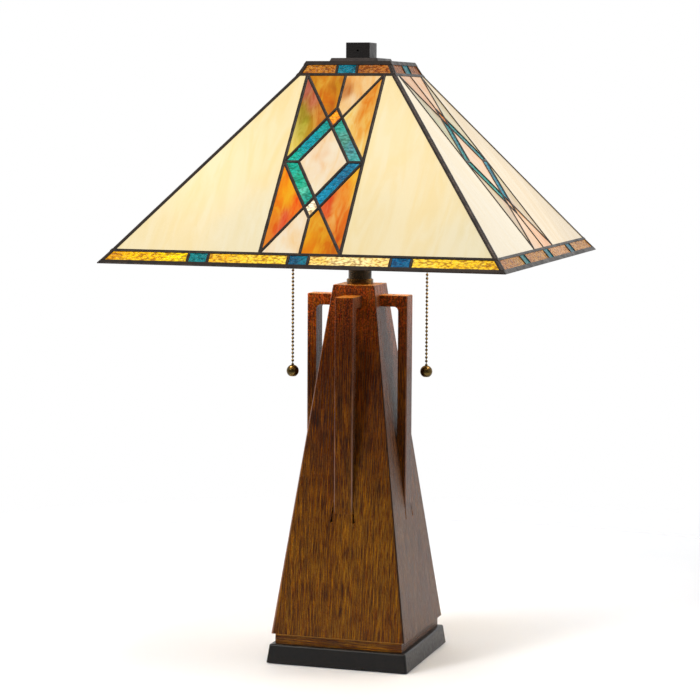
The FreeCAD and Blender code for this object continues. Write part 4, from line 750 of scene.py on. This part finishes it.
def add_bead(piece, tier, side, start, end, width):
    """A line of solder through the glass, with a rounded bead on each face."""
    a, b = Vector(start), Vector(end)
    along = (b - a).normalized()
    a, b = a - along * width * 0.4, b + along * width * 0.4
    across = Vector((-along.y, along.x))
    count = max(2, round((b - a).length / BEAD_STEP))
    rings = []
    for i in range(count + 1):
        middle = a.lerp(b, i / count)
        world = tier.at(side, middle.x, middle.y, 0)
        half = (width / 2 + 0.1) * (1 + 0.09 * lump(world, 7.0) + 0.05 * lump(world, 2.2))
        rise = PROUD * (0.9 + 0.1 * lump(world, 4.0))
        if i in (0, count):
            half, rise = half * 0.6, rise * 0.6
        ring = []
        for face in (1, -1):
            for step in range(7):
                angle = math.pi * step / 6
                high = (rise + BEAD_SINK) * math.sin(angle) - BEAD_SINK
                spot = middle + across * (half * math.cos(angle) * face)
                n = high if face > 0 else -GLASS - high
                ring.append(piece.point(tier.at(side, spot.x, spot.y, n)))
        rings.append(ring)
    piece.rings(rings)


def lattice_lines():
    """Centre lines of the solder in one main panel, as (start, end, width)."""
    length = MAIN.length
    middle = length / 2
    inner = MIDDLE_HALF * INNER_DIAMOND / OUTER_DIAMOND
    lines = []
    for side in (-1, 1):
        edge = side * MIDDLE_HALF
        lines.append(((edge, 0), (edge, length), BAND_LINE))
        lines.append(((side * inner, middle), (edge, middle), PATTERN_LINE))
        for up in (-1, 1):
            lines.append(((edge, middle + up * middle), (-side * inner, middle), PATTERN_LINE))
            lines.append(((0, middle + up * OUTER_DIAMOND), (edge, middle), PATTERN_LINE))
    for up in (-1, 1):
        lines.append(((0, middle + up * OUTER_DIAMOND), (0, middle + up * middle), PATTERN_LINE))
    return lines


def softened(points, radius):
    """Section with each corner turned into a small arc, of one radius or one per corner."""
    made = []
    for i, corner in enumerate(points):
        back = Vector(points[i - 1]) - Vector(corner)
        ahead = Vector(points[(i + 1) % len(points)]) - Vector(corner)
        size = radius[i] if isinstance(radius, (tuple, list)) else radius
        cut = min(size, back.length * 0.48, ahead.length * 0.48)
        start = Vector(corner) + back.normalized() * cut
        end = Vector(corner) + ahead.normalized() * cut
        for t in (0.0, 0.33, 0.67, 1.0):
            made.append(start.lerp(Vector(corner), t).lerp(Vector(corner).lerp(end, t), t))
    return made


def loop_came(name, section, radius, nodes, rough=0.16):
    """A came that runs round all four sides, mitred at the corners; section is (out, height)."""
    shape = softened(section, radius)
    middle = sum(shape, Vector((0, 0))) / len(shape)
    reach = max(p.x for p in shape)
    count = max(8, round(2 * reach / CAME_STEP))
    piece = Piece()
    rings = []
    for side in range(4):
        turn = Matrix.Rotation(side * math.pi / 2, 3, "Z")
        for i in range(count):
            t = 2 * i / count - 1
            ring = []
            for p in shape:
                spot = turn @ Vector((t * p.x, -p.x, p.y))
                inward = rough * (0.5 + 0.5 * lump(spot, 6.0)) if 0 < i else 0.0
                pulled = p.lerp(middle, inward / max((p - middle).length, inward, 0.01))
                ring.append(piece.point(turn @ Vector((t * p.x, -pulled.x, pulled.y))))
            rings.append(ring)
    piece.rings(rings, closed=True)
    piece.finish(name, CAME, "shade", nodes)


def fold_section(lower, upper, down, up):
    """Section of the came over a fold between two tiers, from outside to inside."""
    inside = -GLASS - PROUD
    fold = lower.length

    def knee(n):
        a, b = lower.section(fold, n), upper.section(0, n)
        return (a[0] + b[0]) / 2, (a[1] + b[1]) / 2

    return [lower.section(fold - down, inside), lower.section(fold - down, PROUD), knee(PROUD),
            upper.section(up, PROUD), upper.section(up, inside), knee(inside)]


for side, side_name in enumerate(SIDES):
    piece = Piece()
    for start, end, width in lattice_lines():
        add_bead(piece, MAIN, side, start, end, width)
    piece.finish(f"solder_lattice_{side_name}", CAME, "shade", ["came_lattice"])

RIM_TOP = RIM.length - EAVE_DOWN
RIM_FOOT = RIM_TOP - RIM_GLASS_HEIGHT
CROWN_TOP = BROW_UP + CROWN_GLASS_HEIGHT
for node, tier, low_s, high_s, middles, half in (
        ("rim_dividers", RIM, RIM_FOOT, RIM_TOP, (-RIM_TEAL_PLACE, 0, RIM_TEAL_PLACE), RIM_TEAL_HALF),
        ("crown_dividers", CROWN, BROW_UP, CROWN_TOP, (0,), CROWN_TEAL_HALF)):
    for side, side_name in enumerate(SIDES):
        piece = Piece()
        for u in (middle + way * half for middle in middles for way in (-1, 1)):
            add_bead(piece, tier, side, (u, low_s), (u, high_s), DIVIDER_LINE)
        piece.finish(f"{node}_{side_name}", CAME, "shade", [node])

loop_came("eave_came", fold_section(RIM, MAIN, EAVE_DOWN, EAVE_UP), FOLD_ROUND, ["fold_cames"])
loop_came("brow_came", fold_section(MAIN, CROWN, BROW_DOWN, BROW_UP), FOLD_ROUND, ["fold_cames"])
channel_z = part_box("rim_channel")[0].z / MM
lip = RIM.section_at(channel_z + CHANNEL_LIP, CHANNEL_PROUD)
loop_came("rim_channel_came",
          [RIM.section(RIM_FOOT, -GLASS - PROUD), RIM.section(RIM_FOOT, CHANNEL_PROUD), lip,
           (lip[0], channel_z), RIM.section_at(channel_z, -GLASS - PROUD)],
          CHANNEL_ROUND, ["rim_channel"], 0.05)


def add_corner_came(piece, turn):
    """The came up one corner of the shade, over its three tiers."""
    corner = [RIM.section(RIM_FOOT, 0), EAVE_LINE, BROW_LINE, CROWN.section(CROWN_TOP, 0)]
    rings = []
    for (half_a, z_a), (half_b, z_b) in zip(corner, corner[1:]):
        count = max(2, round(math.hypot(half_a - half_b, z_a - z_b) / CAME_STEP))
        last = half_b == corner[-1][0]
        for i in range(count + last):
            half = half_a + (half_b - half_a) * i / count
            height = z_a + (z_b - z_a) * i / count
            outer, leg = half + CORNER_PROUD, half - CORNER_LEG
            square = softened([(outer, -outer), (outer, -leg), (leg, -leg), (leg, -outer)],
                              CORNER_ROUND)
            middle = sum(square, Vector((0, 0))) / len(square)
            inward = 0.03 + 0.03 * lump(turn @ Vector((outer, -outer, height)), 7.0)
            ring = []
            for p in square:
                p = p.lerp(middle, inward)
                ring.append(piece.point(turn @ Vector((p.x, p.y, height))))
            rings.append(ring)
    piece.rings(rings)


for side, side_name in enumerate(SIDES):
    piece = Piece()
    add_corner_came(piece, Matrix.Rotation(side * math.pi / 2, 3, "Z"))
    piece.finish(f"corner_came_{side_name}", CAME, "shade", ["hip_cames"])


# ---------------------------------------------------------------- floor, lights, camera

FLOOR_HALF = 2.0
FLOOR_FADE = (0.25, 1.0)      # distances over which the floor fades into the backdrop
CAMERA_PLACE = (0.7098, -2.2663, 0.5674)
CAMERA_TURN = math.radians(17.63)
CAMERA_TILT = math.radians(90 - 5.96)
CAMERA_ROLL = math.radians(0.32)
LENS = 118.6
SENSOR = 36.0


def make_floor():
    h = FLOOR_HALF
    mesh = bpy.data.meshes.new("studio_floor")
    mesh.from_pydata([(-h, -h, 0), (h, -h, 0), (h, h, 0), (-h, h, 0)], [], [(0, 1, 2, 3)])
    m = Shader("floor_paint")
    spot = m.node("TexCoord").outputs["Object"]
    far = m.node("VectorMath", {"Vector": spot}, operation="LENGTH").outputs["Value"]
    colour = m.ramp(m.noise(spot, 6.0), ((0.3, (0.92, 0.94, 0.98)), (0.7, (0.95, 0.97, 1.0))))
    paint = m.node("BsdfPrincipled",
                   {"Base Color": colour, "Roughness": 0.7, "Specular IOR Level": 0.2})
    mixed = m.node("MixShader", {"Fac": m.span(far, *FLOOR_FADE)})
    m.tree.links.new(paint.outputs[0], mixed.inputs[1])
    m.tree.links.new(m.node("BsdfTransparent").outputs[0], mixed.inputs[2])
    m.tree.links.new(mixed.outputs[0], m.node("OutputMaterial").inputs[0])
    mesh.materials.append(m.material)
    floor = bpy.data.objects.new("studio_floor", mesh)
    bpy.context.scene.collection.objects.link(floor)


def add_area(name, place, aim, size, power):
    light = bpy.data.lights.new(name, "AREA")
    light.shape = "DISK"
    light.size = size
    light.energy = power
    lamp = bpy.data.objects.new(name, light)
    turn = (Vector(aim) - Vector(place)).to_track_quat("-Z", "Y").to_matrix().to_4x4()
    lamp.matrix_world = Matrix.Translation(place) @ turn
    bpy.context.scene.collection.objects.link(lamp)


def make_world():
    """A white surround that lights the lamp more from behind than from in front."""
    world = bpy.data.worlds.new("studio")
    world.use_nodes = True
    tree = world.node_tree
    sky = tree.nodes["Background"]
    sky.inputs[0].default_value = (1, 1, 1, 1)
    split = tree.nodes.new("ShaderNodeSeparateXYZ")
    tree.links.new(tree.nodes.new("ShaderNodeTexCoord").outputs["Generated"], split.inputs[0])
    fade = tree.nodes.new("ShaderNodeMapRange")
    for name, value in (("From Min", -0.75), ("From Max", 0.45), ("To Min", 0.16), ("To Max", 1.0)):
        fade.inputs[name].default_value = value
    tree.links.new(split.outputs[1], fade.inputs["Value"])
    seen = tree.nodes.new("ShaderNodeLightPath").outputs["Is Camera Ray"]
    strongest = tree.nodes.new("ShaderNodeMath")
    strongest.operation = "MAXIMUM"
    tree.links.new(fade.outputs[0], strongest.inputs[0])
    tree.links.new(seen, strongest.inputs[1])
    tree.links.new(strongest.outputs[0], sky.inputs[1])
    bpy.context.scene.world = world


def make_camera():
    camera = bpy.data.cameras.new("camera")
    camera.lens = LENS
    camera.sensor_width = SENSOR
    camera.clip_end = 50
    viewer = bpy.data.objects.new("camera", camera)
    viewer.matrix_world = (Matrix.Translation(CAMERA_PLACE)
                           @ Matrix.Rotation(CAMERA_TURN, 4, "Z")
                           @ Matrix.Rotation(CAMERA_TILT, 4, "X")
                           @ Matrix.Rotation(CAMERA_ROLL, 4, "Z"))
    bpy.context.scene.collection.objects.link(viewer)
    bpy.context.scene.camera = viewer


make_floor()
make_world()
bpy.context.scene.view_settings.view_transform = "Standard"
add_area("key_light", (-1.5, -1.9, 1.9), (0, 0, 0.3), 1.0, 46)
add_area("top_light", (0.5, -0.3, 3.0), (0, 0, 0), 1.6, 30)
make_camera()
